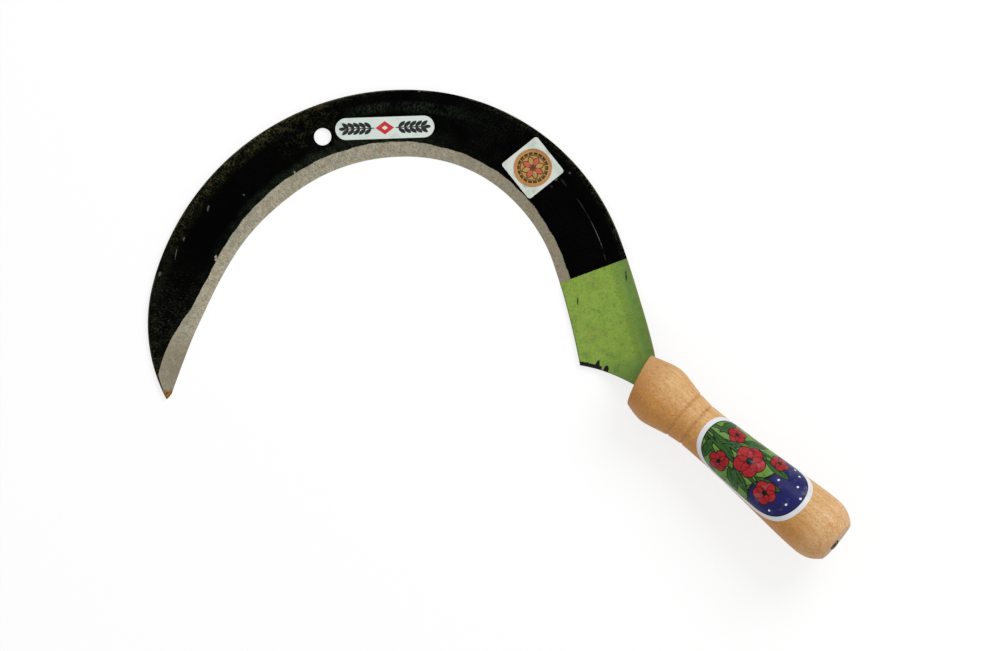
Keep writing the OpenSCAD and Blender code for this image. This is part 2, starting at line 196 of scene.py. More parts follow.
def new_mesh(name: str, points: Array, faces: list) -> bpy.types.Mesh:
    """Make a closed mesh with its faces turned outwards.

    Args:
        name: the mesh's name.
        points: places in millimetres.
        faces: vertex indices of each face.

    Returns:
        The mesh, in metres.
    """
    mesh = bpy.data.meshes.new(name)
    mesh.from_pydata((points * MM).tolist(), [], faces)
    work = bmesh.new()
    work.from_mesh(mesh)
    bmesh.ops.recalc_face_normals(work, faces=work.faces)
    work.to_mesh(mesh)
    work.free()
    return mesh


def new_object(name: str, data: Any) -> bpy.types.Object:
    """Return an object of a mesh, camera or lamp, put into the scene."""
    made = bpy.data.objects.new(name, data)
    bpy.context.scene.collection.objects.link(made)
    return made


def as_piece(name: str, points: Array, faces: list, fields: Fields, nodes: Sequence[str],
             crease: float = CREASE) -> bpy.types.Object:
    """Args:
        name: object name.
        points: places in millimetres.
        faces: vertex indices of each face.
        fields: named values, one for each point, that the finishes read.
        nodes: CAD nodes that the piece stands for.
        crease: angle in degrees past which an edge stays sharp.

    Returns:
        The object, at the origin, with its faces pointing outwards.
    """
    mesh = new_mesh(name, points, faces)
    mesh.polygons.foreach_set("use_smooth", np.ones(len(mesh.polygons), bool))
    mesh.set_sharp_from_angle(angle=math.radians(crease))
    for key, values in fields.items():
        layer = mesh.attributes.new(key, "FLOAT", "POINT")
        layer.data.foreach_set("value", np.ascontiguousarray(values, np.float32))
    mesh.update()
    piece = new_object(name, mesh)
    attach(piece, "root")
    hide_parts(*nodes)
    LOG.info("%s: %d points, %d faces", name, len(mesh.vertices), len(mesh.polygons))
    return piece


def grid_faces(index: Array, wrap: bool = False) -> Array:
    """Return the quads between the rows of a grid of vertex numbers, closed round if wrap is set."""
    if wrap:
        index = np.concatenate([index, index[:, :1]], axis=1)
    corners = (index[:-1, :-1], index[:-1, 1:], index[1:, 1:], index[1:, :-1])
    return np.stack([c.ravel() for c in corners], axis=1)


def tube_faces(count: int, sides: int) -> list:
    """Return the faces of a closed tube with a number of points, so many on each ring, and its two caps."""
    index = np.arange(count).reshape(-1, sides)
    return grid_faces(index, wrap=True).tolist() + [index[0].tolist(), index[-1].tolist()]


def carve(piece: bpy.types.Object, loops: list[Array]) -> None:
    """Cut a straight-sided slot out of a piece.

    Args:
        piece: the object to cut.
        loops: the four corners of the slot at each of its two ends, in millimetres.
    """
    sides = grid_faces(np.arange(8).reshape(2, 4), wrap=True).tolist()
    mesh = new_mesh("slot_tool", np.concatenate(loops), sides + [[3, 2, 1, 0], [4, 5, 6, 7]])
    tool = new_object("slot_tool", mesh)
    cut = piece.modifiers.new("slot", "BOOLEAN")
    cut.operation = "DIFFERENCE"
    cut.solver = "EXACT"
    cut.object = tool
    bpy.context.view_layer.update()
    made = bpy.data.meshes.new_from_object(piece.evaluated_get(bpy.context.evaluated_depsgraph_get()))
    made.set_sharp_from_angle(angle=math.radians(CREASE))
    piece.modifiers.clear()
    old = piece.data
    made.name = old.name
    piece.data = made
    bpy.data.meshes.remove(old)
    bpy.data.objects.remove(tool)
    bpy.data.meshes.remove(mesh)


# Shader graphs


@dataclass(frozen=True)
class Value:
    """A value in a shader graph, which plain signs and ramps work on."""

    tree: bpy.types.NodeTree
    socket: bpy.types.NodeSocket

    def math(self, operation: str, *others: Any) -> "Value":
        """Return the result of a Math operation on this value and others."""
        return add(self.tree, "Math", dict(enumerate((self, *others))), operation=operation)

    def __add__(self, other: Any) -> "Value":
        """Return the sum."""
        return self.math("ADD", other)

    def __sub__(self, other: Any) -> "Value":
        """Return this value less the other."""
        return self.math("SUBTRACT", other)

    def __mul__(self, other: Any) -> "Value":
        """Return the product, which of two masks keeps what both have."""
        return self.math("MULTIPLY", other)

    def __or__(self, other: Any) -> "Value":
        """Return the larger value, which of two masks keeps what either has."""
        return self.math("MAXIMUM", other)

    def ramp(self, low: Any, high: Any, start: float = 0.0, end: float = 1.0) -> "Value":
        """Return an eased ramp: start where this value is low, end where it is high."""
        limits = {"From Min": low, "From Max": high, "To Min": start, "To Max": end}
        return add(self.tree, "MapRange", {"Value": self, **limits}, interpolation_type="SMOOTHSTEP")

    def band(self, foot: float, top: float, end: float, far: float) -> "Value":
        """Return a mask that rises from foot to top and falls from end to far."""
        return self.ramp(foot, top) * self.ramp(far, end)

    def choose(self, low: Any, high: Any) -> "Value":
        """Return low where this mask is 0 and high where it is 1."""
        return add(self.tree, "Mix", {0: self, 2: low, 3: high}, data_type="FLOAT")


def add(tree: bpy.types.NodeTree, kind: str, inputs: dict[Any, Any] | None = None, out: int | str = 0,
        **settings: Any) -> Value | None:
    """Add a node to a shader graph.

    Args:
        tree: the graph.
        kind: node type without the leading word ShaderNode.
        inputs: input name or number against a value to link, a number or an sRGB hex colour.
        out: the output that is handed back.
        **settings: the node's own settings.

    Returns:
        The chosen output, or nothing for a node without one.
    """
    made = tree.nodes.new("ShaderNode" + kind)
    for key, value in settings.items():
        setattr(made, key, value)
    for key, value in (inputs or {}).items():
        if isinstance(value, Value):
            tree.links.new(value.socket, made.inputs[key])
        else:
            made.inputs[key].default_value = linear(value) if isinstance(value, str) else value
    return Value(tree, made.outputs[out]) if len(made.outputs) else None


def layers(tree: bpy.types.NodeTree, base: Any, *coats: tuple[Any, Any]) -> Any:
    """Return a colour with others laid over it in turn, each with the mask that is 1 where it shows."""
    for colour, mask in coats:
        base = add(tree, "Mix", {0: mask, 6: base, 7: colour}, out=2, data_type="RGBA")
    return base


def new_material(name: str) -> tuple[bpy.types.Material, bpy.types.NodeTree]:
    """Return an empty material with nodes, and its graph."""
    made = bpy.data.materials.new(name)
    made.use_nodes = True
    made.node_tree.nodes.clear()
    return made, made.node_tree


def close_graph(material: bpy.types.Material, height: Value, strength: float, depth: float,
                inputs: dict[str, Any]) -> bpy.types.Material:
    """Finish a material with a bump, one Principled shader and the output.

    Args:
        material: the material.
        height: the bump's height as a share of its depth.
        strength: the bump's strength.
        depth: its depth in millimetres.
        inputs: the shader's other inputs.

    Returns:
        The same material.
    """
    tree = material.node_tree
    bump = add(tree, "Bump", {"Strength": strength, "Distance": depth * MM, "Height": height}, out="Normal")
    add(tree, "OutputMaterial", {"Surface": add(tree, "BsdfPrincipled", {**inputs, "Normal": bump})})
    return material


# Blade


@dataclass(frozen=True)
class BackLine:
    """The back edge of the blade: a chain of arcs that run into each other without a corner.

    Positions are in the build frame of the part's source, whose X axis is the handle's centre line.
    """

    start: Pair = (-5.2, 16.9)
    heading: float = 143.2
    arcs: tuple[Pair, ...] = ((570.0, 6.2), (124.6, 66.2), (143.3, 79.1), (88.2, 43.3))

    def rows(self) -> tuple[Array, Array, Array, Array, Array]:
        """Return the start distance, centre, radius, start heading and turn of each arc."""
        radius = np.array([a[0] for a in self.arcs])
        turn = np.radians([a[1] for a in self.arcs])
        heading = np.radians(self.heading) + np.concatenate([[0.0], np.cumsum(turn)[:-1]])
        along = np.concatenate([[0.0], np.cumsum(radius * turn)[:-1]])
        step_x = radius * (np.sin(heading + turn) - np.sin(heading))
        step_y = radius * (np.cos(heading) - np.cos(heading + turn))
        begin = np.array(self.start) + np.cumsum(
            np.stack([np.append(0.0, step_x[:-1]), np.append(0.0, step_y[:-1])], 1), axis=0)
        centre = begin + radius[:, None] * np.stack([-np.sin(heading), np.cos(heading)], 1)
        return along, centre, radius, heading, turn

    @property
    def length(self) -> float:
        """Return the length of the whole chain."""
        return float(sum(r * math.radians(t) for r, t in self.arcs))

    def at(self, s: Array) -> tuple[Array, Array]:
        """Return points on the back and unit vectors across the blade.

        Args:
            s: distances along the back from the heel.

        Returns:
            Centre of the arc plus its radius along the outward normal, and the inward normal.
        """
        along, centre, radius, heading, _ = self.rows()
        i = np.clip(np.searchsorted(along, s, side="right") - 1, 0, len(along) - 1)
        h = heading[i] + (s - along[i]) / radius[i]
        inward = np.stack([-np.sin(h), np.cos(h)], 1)
        return centre[i] - radius[i][:, None] * inward, inward

    def locate(self, xy: Array) -> tuple[Array, Array]:
        """Return the distances along and from the back of points in plan.

        The arc whose turn takes a point in gives its angle round that arc's centre, times the radius,
        and the radius less the distance to the centre.

        Args:
            xy: the points, a row each.

        Returns:
            Both distances.
        """
        along, centre, radius, heading, turn = self.rows()
        s = np.zeros(len(xy))
        v = np.zeros(len(xy))
        for k in range(len(radius) - 1, -1, -1):
            d = xy - centre[k]
            angle = (np.arctan2(d[:, 1], d[:, 0]) - (heading[k] - np.pi / 2)) % (2 * np.pi)
            here = angle <= turn[k]
            s = np.where(here, along[k] + radius[k] * angle, s)
            v = np.where(here, radius[k] - np.hypot(d[:, 0], d[:, 1]), v)
        return s, v


@dataclass
class Sections:
    """Values of the blade's cross-sections, one for each station along it."""

    s: Array
    back: Array
    inward: Array
    width: Array
    bevel: Array
    thick: Array
    rise: Array
    edge: Array

    def plan(self, v: Array) -> Array:
        """Return the plan points at distances from the back, a row for each section."""
        return self.back[:, None, :] + v[..., None] * self.inward[:, None, :]


@dataclass
class Blade:
    """The forging: crescent, heel, cranked neck, tang and its riveted end."""

    line: BackLine = field(default_factory=BackLine)
    heel_width: float = 41.0
    throat_width: float = 36.8
    throat_at: float = 215.0
    beak_width: float = 38.0
    point_run: float = 34.3
    point_past: float = 2.2
    point_cut: float = 0.2
    nose_run: float = 1.6
    nose_share: float = 0.4
    web_heel: float = 3.0
    web_tip: float = 1.6
    rib_width: float = 6.6
    rib_height: float = 1.3
    rib_slope: float = 5.0
    rib_loss: float = 0.6
    back_round: float = 0.9
    round_share: float = 0.4
    crest_share: float = 0.8
    least_web: float = 4.0
    bevel_heel: float = 6.4
    bevel_belly: float = 9.2
    bevel_belly_at: float = 265.0
    bevel_span: float = 165.0
    bevel_from: float = 45.0
    bevel_run_in: float = 5.0
    bare_point: float = 12.5
    bevel_spread: float = 72.0
    strip_share: float = 0.08
    edge_thickness: float = 0.35
    blunt_bevel: float = 0.6
    blunt_share: float = 0.6
    hole_r: float = 4.75
    hole_from_point: float = 201.1
    hole_inset: float = 17.5
    hole_round: float = 0.3
    front_r: float = 13.6
    front_cut: float = 13.0
    rise: float = 7.0
    neck_front: float = 4.8
    neck_sag: float = 0.22
    least_run_on: float = 1.0
    neck_thickness: float = 3.0
    crank_length: float = 26.0
    shoulder_depth: float = 10.0
    axis_z: float = 18.2
    handle_length: float = 141.0
    handle_butt_r: float = 12.0
    outline_steps: int = 84
    outline_bunching: float = 1.25
    tang_drop: float = 5.0
    tang_exit_y: float = -2.0
    tang_root: Pair = (8.4, 4.4)
    tang_end: Pair = (4.0, 3.4)
    tang_nose: float = 0.9
    tang_sides: int = 40
    tang_power: float = 0.35
    tang_rings: tuple[float, ...] = (-134.0, -133.4, -100.0, -50.0, -0.4, -0.01)
    rivet_rings: tuple[Pair, ...] = (
        (0.0, 3.05), (0.15, 3.2), (0.5, 3.14), (0.85, 2.95), (1.08, 2.45), (1.2, 1.3))
    rivet_d: float = 6.4
    rivet_height: float = 1.2
    rivet_taper: float = 0.8
    clearance: float = 0.15
    forging_wave: float = 0.05
    edge_swells: tuple[Triple, ...] = (
        (108.0, 42.0, 0.75), (318.0, 34.0, 0.85), (385.0, 30.0, 0.35), (420.0, 16.0, 0.4))
    line_humps: tuple[Triple, ...] = (
        (96.0, 30.0, 1.1), (192.0, 22.0, 0.55), (303.0, 28.0, 0.55), (360.0, 12.0, -0.45),
        (403.0, 14.0, -0.35), (413.0, 8.0, 1.2), (430.0, 12.0, 0.45))
    line_shift: float = 0.45
    shift_run: Pair = (58.0, 14.0)
    line_waves: tuple[Triple, ...] = ((0.16, 5.3, 0.0), (0.12, 2.1, 1.0), (0.22, 17.0, 2.0))
    even_end: Pair = (20.0, 30.0)
    hollow: float = 0.035
    stations: int = 450
    station_bunching: float = 1.12
    neck_stations: tuple[int, int] = (5, 26)
    hole_clear: float = 1.4
    outline_past: float = 12.0

    @cached_property
    def origin(self) -> Pair:
        """Return the middle of the box round the tool in plan, where the row's frame starts.

        The box spans the solids' own stations of the back and the far side of the tipped butt.
        """
        left = (1.0 - np.linspace(0.0, 1.0, self.outline_steps + 1)) ** self.outline_bunching
        back, _ = self.line.at((self.line.length - self.point_cut) * (1.0 - left))
        turn = math.radians(self.rise)
        ends = ((self.handle_length, self.handle_butt_r),
                (self.handle_length + self.rivet_height, self.rivet_d * self.rivet_taper / 2))
        reach = max(x * math.cos(turn) + r * math.sin(turn) for x, r in ends)
        low, high = back.min(axis=0), back.max(axis=0)
        return ((low[0] + reach) / 2, (min(low[1], -self.axis_z) + max(high[1], self.axis_z)) / 2)

    @property
    def tang_z(self) -> float:
        """Return the height of the tang's middle where it enters the wood."""
        return self.axis_z - self.tang_drop

    @property
    def tang_slope(self) -> Array:
        """Return the tang's drift in Y and its climb in Z for each millimetre along the handle."""
        return np.array([self.tang_exit_y, self.tang_drop]) / self.handle_length

    @property
    def hole_at(self) -> float:
        """Return the hang hole's distance along the back."""
        return self.line.length - self.hole_from_point

    @property
    def cut(self) -> float:
        """Return the slope of the handle's askew front."""
        return math.tan(math.radians(self.front_cut))

    def full_width(self, s: Array) -> Array:
        """Return the width before it runs out in the point.

        Up to the throat the heel's excess falls off as a square, and past it the width grows evenly.
        """
        narrow = mix(self.heel_width, self.throat_width, 1.0 - (1.0 - s / self.throat_at) ** 2)
        share = (s - self.throat_at) / (self.line.length - self.throat_at)
        return np.where(s < self.throat_at, narrow, mix(self.throat_width, self.beak_width, share))

    def width(self, s: Array) -> Array:
        """Return the full width times 1 less e to the minus (distance to the sharp point over its run).

        A sine over the last stretch takes part of that width away, for the rounded nose.
        """
        ahead = held((self.line.length - self.point_cut - s) / self.nose_run)
        nose = mix(self.nose_share, 1.0, np.sin(np.pi / 2 * ahead))
        left = self.line.length + self.point_past - s
        return self.full_width(s) * (1.0 - np.exp(-left / self.point_run)) * nose

    def bevel(self, s: Array) -> Array:
        """Return the width of the ground bevel.

        It leaves the unground width, which a sine takes away towards the point, and a smooth share
        starts it past the heel.

        Args:
            s: distances along the back.

        Returns:
            The widths.
        """
        left = (self.line.length - self.bare_point - s) / self.bevel_spread
        widest = self.unground(np.array([self.line.length - self.bare_point - self.bevel_spread]))
        plain = self.unground(s)
        spread = np.minimum(plain, widest * np.sin(np.pi / 2 * held(left)))
        dark = np.where(left > 1.0, plain, spread)
        width = self.width(s)
        full = width - np.maximum(dark, self.strip_share * width)
        return mix(self.blunt_bevel, full, self.grinding(s))

    def unground(self, s: Array) -> Array:
        """Return the width that a bevel of plain width leaves, with a squared cosine as its belly."""
        near = np.minimum(1.0, np.abs(s - self.bevel_belly_at) / self.bevel_span)
        return self.width(s) - mix(self.bevel_heel, self.bevel_belly, np.cos(np.pi / 2 * near) ** 2)

    def grinding(self, s: Array) -> Array:
        """Return the share of its full width that the bevel has reached."""
        return smooth((s - self.bevel_from) / self.bevel_run_in)

    def hand_wobble(self, s: Array) -> Array:
        """Return how far the ground line strays towards the back: its waves less shift and bells."""
        start, run = self.shift_run
        shift = self.line_shift * smooth((s - start) / run) + bells(s, self.line_humps)
        return sum(high * np.sin(s / long + phase) for high, long, phase in self.line_waves) - shift

    def web(self, s: Array) -> Array:
        """Return the web's thickness, falling evenly from heel to point."""
        return mix(self.web_heel, self.web_tip, held(s / self.line.length))

    def rib(self, s: Array) -> Array:
        """Return the rib's height over the web, which it partly loses by the point."""
        return self.rib_height * (1.0 - self.rib_loss * held(s / self.line.length))

    def zones(self, cuts: Sections) -> tuple[Array, Array, Array, Array]:
        """Return where the rounding, the rib's crest, its slope and the web end on each section.

        Args:
            cuts: the sections.

        Returns:
            Four rows of distances from the back.
        """
        high = cuts.thick + cuts.rise
        corner = np.minimum(self.back_round, self.round_share * high)
        whole = self.rib_width + self.rib_slope
        scale = np.minimum(1.0, (cuts.width - cuts.bevel) / (whole + self.least_web))
        crest = self.rib_width * scale
        return np.minimum(corner, self.crest_share * crest), crest, whole * scale, cuts.width - cuts.bevel

    def heights(self, cuts: Sections, v: Array) -> tuple[Array, Array]:
        """Return the upper and lower side's height at distances from the back, before the lift.

        The upper side is the web, plus the rib with half a cosine as its slope, less a straight and
        slightly hollow bevel and a quarter round at the back. The forging's faint waves are a product
        of sines that fades out at the back and at the bevel.

        Args:
            cuts: the sections.
            v: distances from the back, a row for each section.

        Returns:
            Upper heights and lower heights.
        """
        corner, crest, foot, dark = (z[:, None] for z in self.zones(cuts))
        thick, rise, edge, width = (a[:, None] for a in (cuts.thick, cuts.rise, cuts.edge, cuts.width))
        slope = held((v - crest) / (foot - crest))
        ground = held((v - dark) / (width - dark))
        top = thick + rise * (1.0 + np.cos(np.pi * slope)) / 2 - (thick - edge) * ground
        top = top - self.hollow * cuts.bevel[:, None] / self.bevel_belly * 4 * ground * (1 - ground)
        fall = corner * (1.0 - np.sqrt(1.0 - held(1.0 - v / corner) ** 2))
        s = cuts.s[:, None]
        wave = np.sin(s / 4.1 + np.sin(v / 5.0)) * np.sin(v / 2.9 + s / 23.0) + np.sin(s / 9.7 + v / 6.1)
        still = smooth(v / crest) * smooth((dark - v) / 4.0) * smooth(cuts.rise[:, None] / 0.3)
        return top - fall + self.forging_wave * wave * still / 2, fall

    def tipped(self, points: Array) -> Array:
        """Return points made on a level handle, turned about its front so that the butt rises."""
        x, z = turned(points[..., 0], points[..., 2] - self.axis_z, math.radians(self.rise))
        return np.stack([x, points[..., 1], z + self.axis_z], axis=-1)

    def placed(self, points: Array) -> Array:
        """Return points of the build frame in the row's frame."""
        return points - np.array([*self.origin, 0.0])

    def carried(self, points: Array) -> Array:
        """Return points of the forging, flat on the blade and up the neck to the tang's place.

        The climb is a smooth share of the way behind the handle's front over the crank's length.
        """
        x, y = points[..., 0], points[..., 1]
        level = points.copy()
        level[..., 2] += self.tang_z - self.neck_thickness / 2 + self.tang_slope[1] * x
        share = smooth(1.0 + (x + y * self.cut) / self.crank_length)
        return self.placed(mix(points, self.tipped(level), share[..., None]))

    def blade_sections(self, s: Array) -> Sections:
        """Return the sections of the blade proper.

        Args:
            s: distances along its back.

        Returns:
            The sections, with the hand-made swelling of the edge and wandering of the ground line.
        """
        back, inward = self.line.at(s)
        web = self.web(s)
        edge = mix(self.blunt_share * web, self.edge_thickness, self.grinding(s))
        end, run = self.even_end
        by_hand = self.grinding(s) * smooth((self.line.length - s - end) / run)
        swell = bells(s, self.edge_swells) * by_hand
        bevel = self.bevel(s) + swell + self.hand_wobble(s) * by_hand
        return Sections(s, back, inward, self.width(s) + swell, bevel, web, self.rib(s), edge)

    def neck_corners(self) -> tuple[Array, Array, Array, Array, Array]:
        """Return the neck's plan corners: heel front, wood back and front, tang back and front."""
        _, inward = self.line.at(np.zeros(1))
        heel_front = np.array(self.line.start) + self.width(np.zeros(1)) * inward[0]
        heel = np.array(self.line.start)
        turn = math.radians(self.line.heading)
        way = -np.array([math.cos(turn), math.sin(turn)])
        run_on = max(self.least_run_on, -(heel[0] + heel[1] * self.cut) / (way[0] + way[1] * self.cut))
        wood_back = heel + run_on * way
        wood_front = np.array([self.neck_front * self.cut, -self.neck_front])
        middle = np.array([self.shoulder_depth, self.tang_slope[0] * self.shoulder_depth])
        half = np.array([0.0, self.tang_root[0] / 2])
        return heel_front, wood_back, wood_front, middle + half, middle - half

    def neck_sections(self, inside: int, outside: int) -> Sections:
        """Return the sections of the shoulder inside the wood and of the neck up to the heel.

        Args:
            inside: number of stations in the wood.
            outside: number of stations between the wood and the heel.

        Returns:
            Sections whose back runs straight, and whose front bends between its two corners.
        """
        heel_front, wood_back, wood_front, tang_back, tang_front = self.neck_corners()
        heel = np.array(self.line.start)
        t_in = np.linspace(1.0, 0.0, inside, endpoint=False)[:, None]
        t_out = np.linspace(1.0, 0.0, outside, endpoint=False)[:, None]
        pull = np.array([heel_front[0] / 2, mix(wood_front[1], heel_front[1], self.neck_sag)])
        bent = mix(mix(heel_front, pull, t_out), mix(pull, wood_front, t_out), t_out)
        back = np.concatenate([mix(wood_back, tang_back, t_in), mix(heel, wood_back, t_out)])
        front = np.concatenate([mix(wood_front, tang_front, t_in), bent])
        width = np.linalg.norm(front - back, axis=1)
        share = np.concatenate([np.ones(inside), t_out[:, 0]])
        thick = mix(self.web_heel, self.neck_thickness, share)
        reach = float(np.linalg.norm(wood_front - heel_front))
        deep = float(np.linalg.norm(tang_back - wood_back))
        s = -np.concatenate([reach + deep * t_in[:, 0], reach * t_out[:, 0]])
        return Sections(s, back, (front - back) / width[:, None], width, np.full(len(s), self.blunt_bevel),
                        thick, self.rib_height * (1.0 - share), self.blunt_share * thick)

    def surface(self, cuts: Sections, v: Array) -> tuple[Array, Array]:
        """Return the points of the upper and lower side, carried up the neck, in the row's frame."""
        xy = cuts.plan(v)
        top, low = (self.carried(np.dstack([xy, side])) for side in self.heights(cuts, v))
        return top, low

    def top_at(self, xy: Array) -> Array:
        """Return the upper side's height at plan points of the build frame."""
        s, v = self.line.locate(xy)
        return self.heights(self.blade_sections(s), v[:, None])[0][:, 0]

    def columns(self, cuts: Sections) -> Array:
        """Return the distances from the back at which every section has its points.

        They crowd at the rounding, and on both sides of the bevel's line so that it shades crisply.

        Args:
            cuts: the sections.

        Returns:
            The distances, a row for each section.
        """
        corner, crest, foot, dark = self.zones(cuts)
        stops = (np.zeros_like(corner), corner, crest, foot, dark, cuts.width)
        shares = (1.0 - np.cos(np.linspace(0.0, np.pi / 2, 6))[:-1],
                  np.linspace(0.0, 1.0, 6)[:-1],
                  np.linspace(0.0, 1.0, 10)[:-1],
                  np.append(np.linspace(0.0, 1.0, 25)[:-1], 0.992),
                  np.append([0.0, 0.014], np.linspace(0.1, 1.0, 10)))
        runs = [mix(low[:, None], high[:, None], share[None, :])
                for low, high, share in zip(stops[:-1], stops[1:], shares)]
        return np.concatenate(runs, axis=1)

    def build_forging(self) -> bpy.types.Object:
        """Build the crescent with its heel and neck, and the hang hole punched through it."""
        bunched = 1.0 - (1.0 - np.linspace(0.0, 1.0, self.stations)) ** self.station_bunching
        at = (self.line.length - self.point_cut) * bunched
        runs = [self.neck_sections(*self.neck_stations), self.blade_sections(at)]
        names = Sections.__dataclass_fields__
        cuts = Sections(**{n: np.concatenate([getattr(r, n) for r in runs]) for n in names})
        v = self.columns(cuts)
        top, low = self.surface(cuts, v)
        rows, count = v.shape
        upper = np.arange(rows * count).reshape(rows, count)
        lower = upper + rows * count
        hole_s = self.hole_at
        clear = self.hole_r + self.hole_clear
        i0 = int(np.searchsorted(cuts.s, hole_s - clear)) - 1
        i1 = int(np.searchsorted(cuts.s, hole_s + clear))
        j0 = int(np.searchsorted(v[i0], self.hole_inset - clear)) - 1
        j1 = int(np.searchsorted(v[i0], self.hole_inset + clear))
        solid = np.ones((rows - 1, count - 1), bool)
        solid[i0:i1, j0:j1] = False
        faces = [grid_faces(g)[solid.ravel()] for g in (upper, lower)]
        faces += [grid_faces(np.stack([upper[:, j], lower[:, j]])) for j in (0, count - 1)]
        caps = [np.concatenate([upper[i], lower[i, ::-1]]).tolist() for i in (0, rows - 1)]
        loop = np.concatenate([upper[i0, j0:j1], upper[i0:i1, j1],
                               upper[i1, j1:j0:-1], upper[i1:i0:-1, j0]])
        flat = np.concatenate([top.reshape(-1, 3), low.reshape(-1, 3)])
        ring_points, ring_faces = self.punch(flat, loop, rows * count)
        points = np.concatenate([flat, ring_points])
        s, across = self.line.locate(ring_points[:, :2] + np.array(self.origin))
        depth, front = self.from_neck_front(runs[0], cuts, v)
        rim = np.minimum((cuts.width[:, None] - v).ravel(), depth)
        far = np.full(len(s), 99.0)
        values = {"along": (np.repeat(cuts.s, count), s), "across": (v.ravel(), across),
                  "rim": (rim, self.width(s) - across), "depth": (depth, far), "front": (front, far),
                  "ground": ((v - (cuts.width - cuts.bevel)[:, None]).ravel(), np.full(len(s), -9.0))}
        fields = {key: np.concatenate([grid, grid, ring]) for key, (grid, ring) in values.items()}
        ring_is_upper = (ring_points[:, 2] > self.web_tip * 0.75) * 1.0
        fields["upper"] = np.concatenate([np.ones(v.size), np.zeros(v.size), ring_is_upper])
        everything = [f.tolist() for f in faces + [ring_faces]]
        return as_piece("blade_forging", points, sum(everything, []) + caps, fields, ["blade"])

    def from_neck_front(self, neck: Sections, cuts: Sections, v: Array) -> tuple[Array, Array]:
        """Return every point's distance from the neck's front outline, and the length along it.

        The length counts from the heel's corner, and the outline runs on straight past it.

        Args:
            neck: the sections of the neck, the last one nearest to the heel.
            cuts: all sections.
            v: distances from the back, a row for each section.

        Returns:
            Distances and lengths, flat.
        """
        outline = (neck.back + neck.width[:, None] * neck.inward)[::-1]
        corner = cuts.back[len(neck.s)] + cuts.width[len(neck.s)] * cuts.inward[len(neck.s)]
        past = self.outline_past
        way = (corner - outline[1]) / np.linalg.norm(corner - outline[1])
        outline = np.concatenate([(corner + past * way)[None, :], corner[None, :], outline])
        depth, length = from_outline(cuts.plan(v).reshape(-1, 2), outline)
        return depth, length - past

    def punch(self, flat: Array, rim: Array, shift: int) -> tuple[Array, Array]:
        """Make the rings of points between a rim of the grid and the punched hole.

        On each side straight lines join the rim to a circle, a quarter round turns into the wall, and
        one wall joins the two sides.

        Args:
            flat: points of the grid, upper side first.
            rim: upper vertex numbers round the opening in the grid.
            shift: how far the lower side's numbers lie above the upper side's.

        Returns:
            The new points and the faces of both rings and the wall.
        """
        back, inward = self.line.at(np.array([self.hole_at]))
        centre = (back + self.hole_inset * inward)[0] - np.array(self.origin)
        outer = flat[rim, :2] - centre
        ray = outer / np.linalg.norm(outer, axis=1)[:, None]
        quarter = np.radians([0.0, 30.0, 60.0, 90.0])
        radii = self.hole_r + self.hole_round * (1.0 - np.sin(quarter))
        drops = self.hole_round * (1.0 - np.cos(quarter))
        circle = ray * radii[0]
        plan = [centre + mix(outer, circle, t) for t in (0.35, 0.65, 0.85)]
        plan += [centre + ray * r for r in radii]
        fall = np.concatenate([np.zeros(3), drops])
        xy = np.stack(plan)
        z_top = self.top_at(xy.reshape(-1, 2) + np.array(self.origin)).reshape(xy.shape[:2])
        upper = np.dstack([xy, (z_top - fall[:, None])[..., None]])
        lower = np.dstack([xy, np.broadcast_to(0.5 * fall[:, None, None], xy.shape[:2] + (1,))])
        count = len(rim)
        first = len(flat)
        rings = np.arange(upper.shape[0] * count).reshape(-1, count)
        up = np.concatenate([rim[None, :], rings + first])
        down = np.concatenate([(rim + shift)[None, :], rings + first + rings.size])
        wall = np.stack([up[-1], down[-1]])
        faces = np.concatenate([grid_faces(g, wrap=True) for g in (up, down, wall)])
        return np.concatenate([upper.reshape(-1, 3), lower.reshape(-1, 3)]), faces

    def build_tang(self) -> bpy.types.Object:
        """Build the tang and its riveted end as one profile carried along the handle.

        The profile is a superellipse whose half width and half height shrink to the butt. There it
        opens into a disc, whose edge rolls over into a low dome with a hammered, uneven outline. The
        rings are placed from the butt, and the rivet's have a radius each.
        """
        past_butt, disc_r = np.array(self.rivet_rings).T
        x = self.handle_length + np.concatenate([self.tang_rings, past_butt])
        t = x[: -len(disc_r)] / self.handle_length
        bar = [mix(a, b, t) / 2 for a, b in zip(self.tang_root, self.tang_end)]
        half_w = np.concatenate([bar[0], disc_r])
        half_h = np.concatenate([bar[1], disc_r])
        half_w[0] *= self.tang_nose
        half_h[0] *= self.tang_nose
        is_disc = (np.arange(len(x)) >= len(bar[0]))[:, None]
        power = np.where(is_disc, 1.0, self.tang_power)
        angle = np.linspace(0.0, 2 * np.pi, self.tang_sides, endpoint=False)[None, :]
        c, w = np.cos(angle), np.sin(angle)
        uneven = 1.0 + (0.035 * np.sin(3 * angle + 0.6) + 0.02 * np.sin(7 * angle)) * is_disc
        uneven = uneven / np.max(uneven)
        y = half_w[:, None] * np.sign(c) * np.abs(c) ** power * uneven
        z = half_h[:, None] * np.sign(w) * np.abs(w) ** power * uneven
        y = y + self.tang_slope[0] * np.minimum(x, self.handle_length)[:, None]
        z = z + self.tang_z + self.tang_slope[1] * np.minimum(x, self.handle_length)[:, None]
        points = np.dstack([np.broadcast_to(x[:, None], y.shape), y, z]).reshape(-1, 3)
        points = self.placed(self.tipped(points))
        faces = tube_faces(len(points), self.tang_sides)
        return as_piece("tang_end", points, faces, {}, ["blade"])

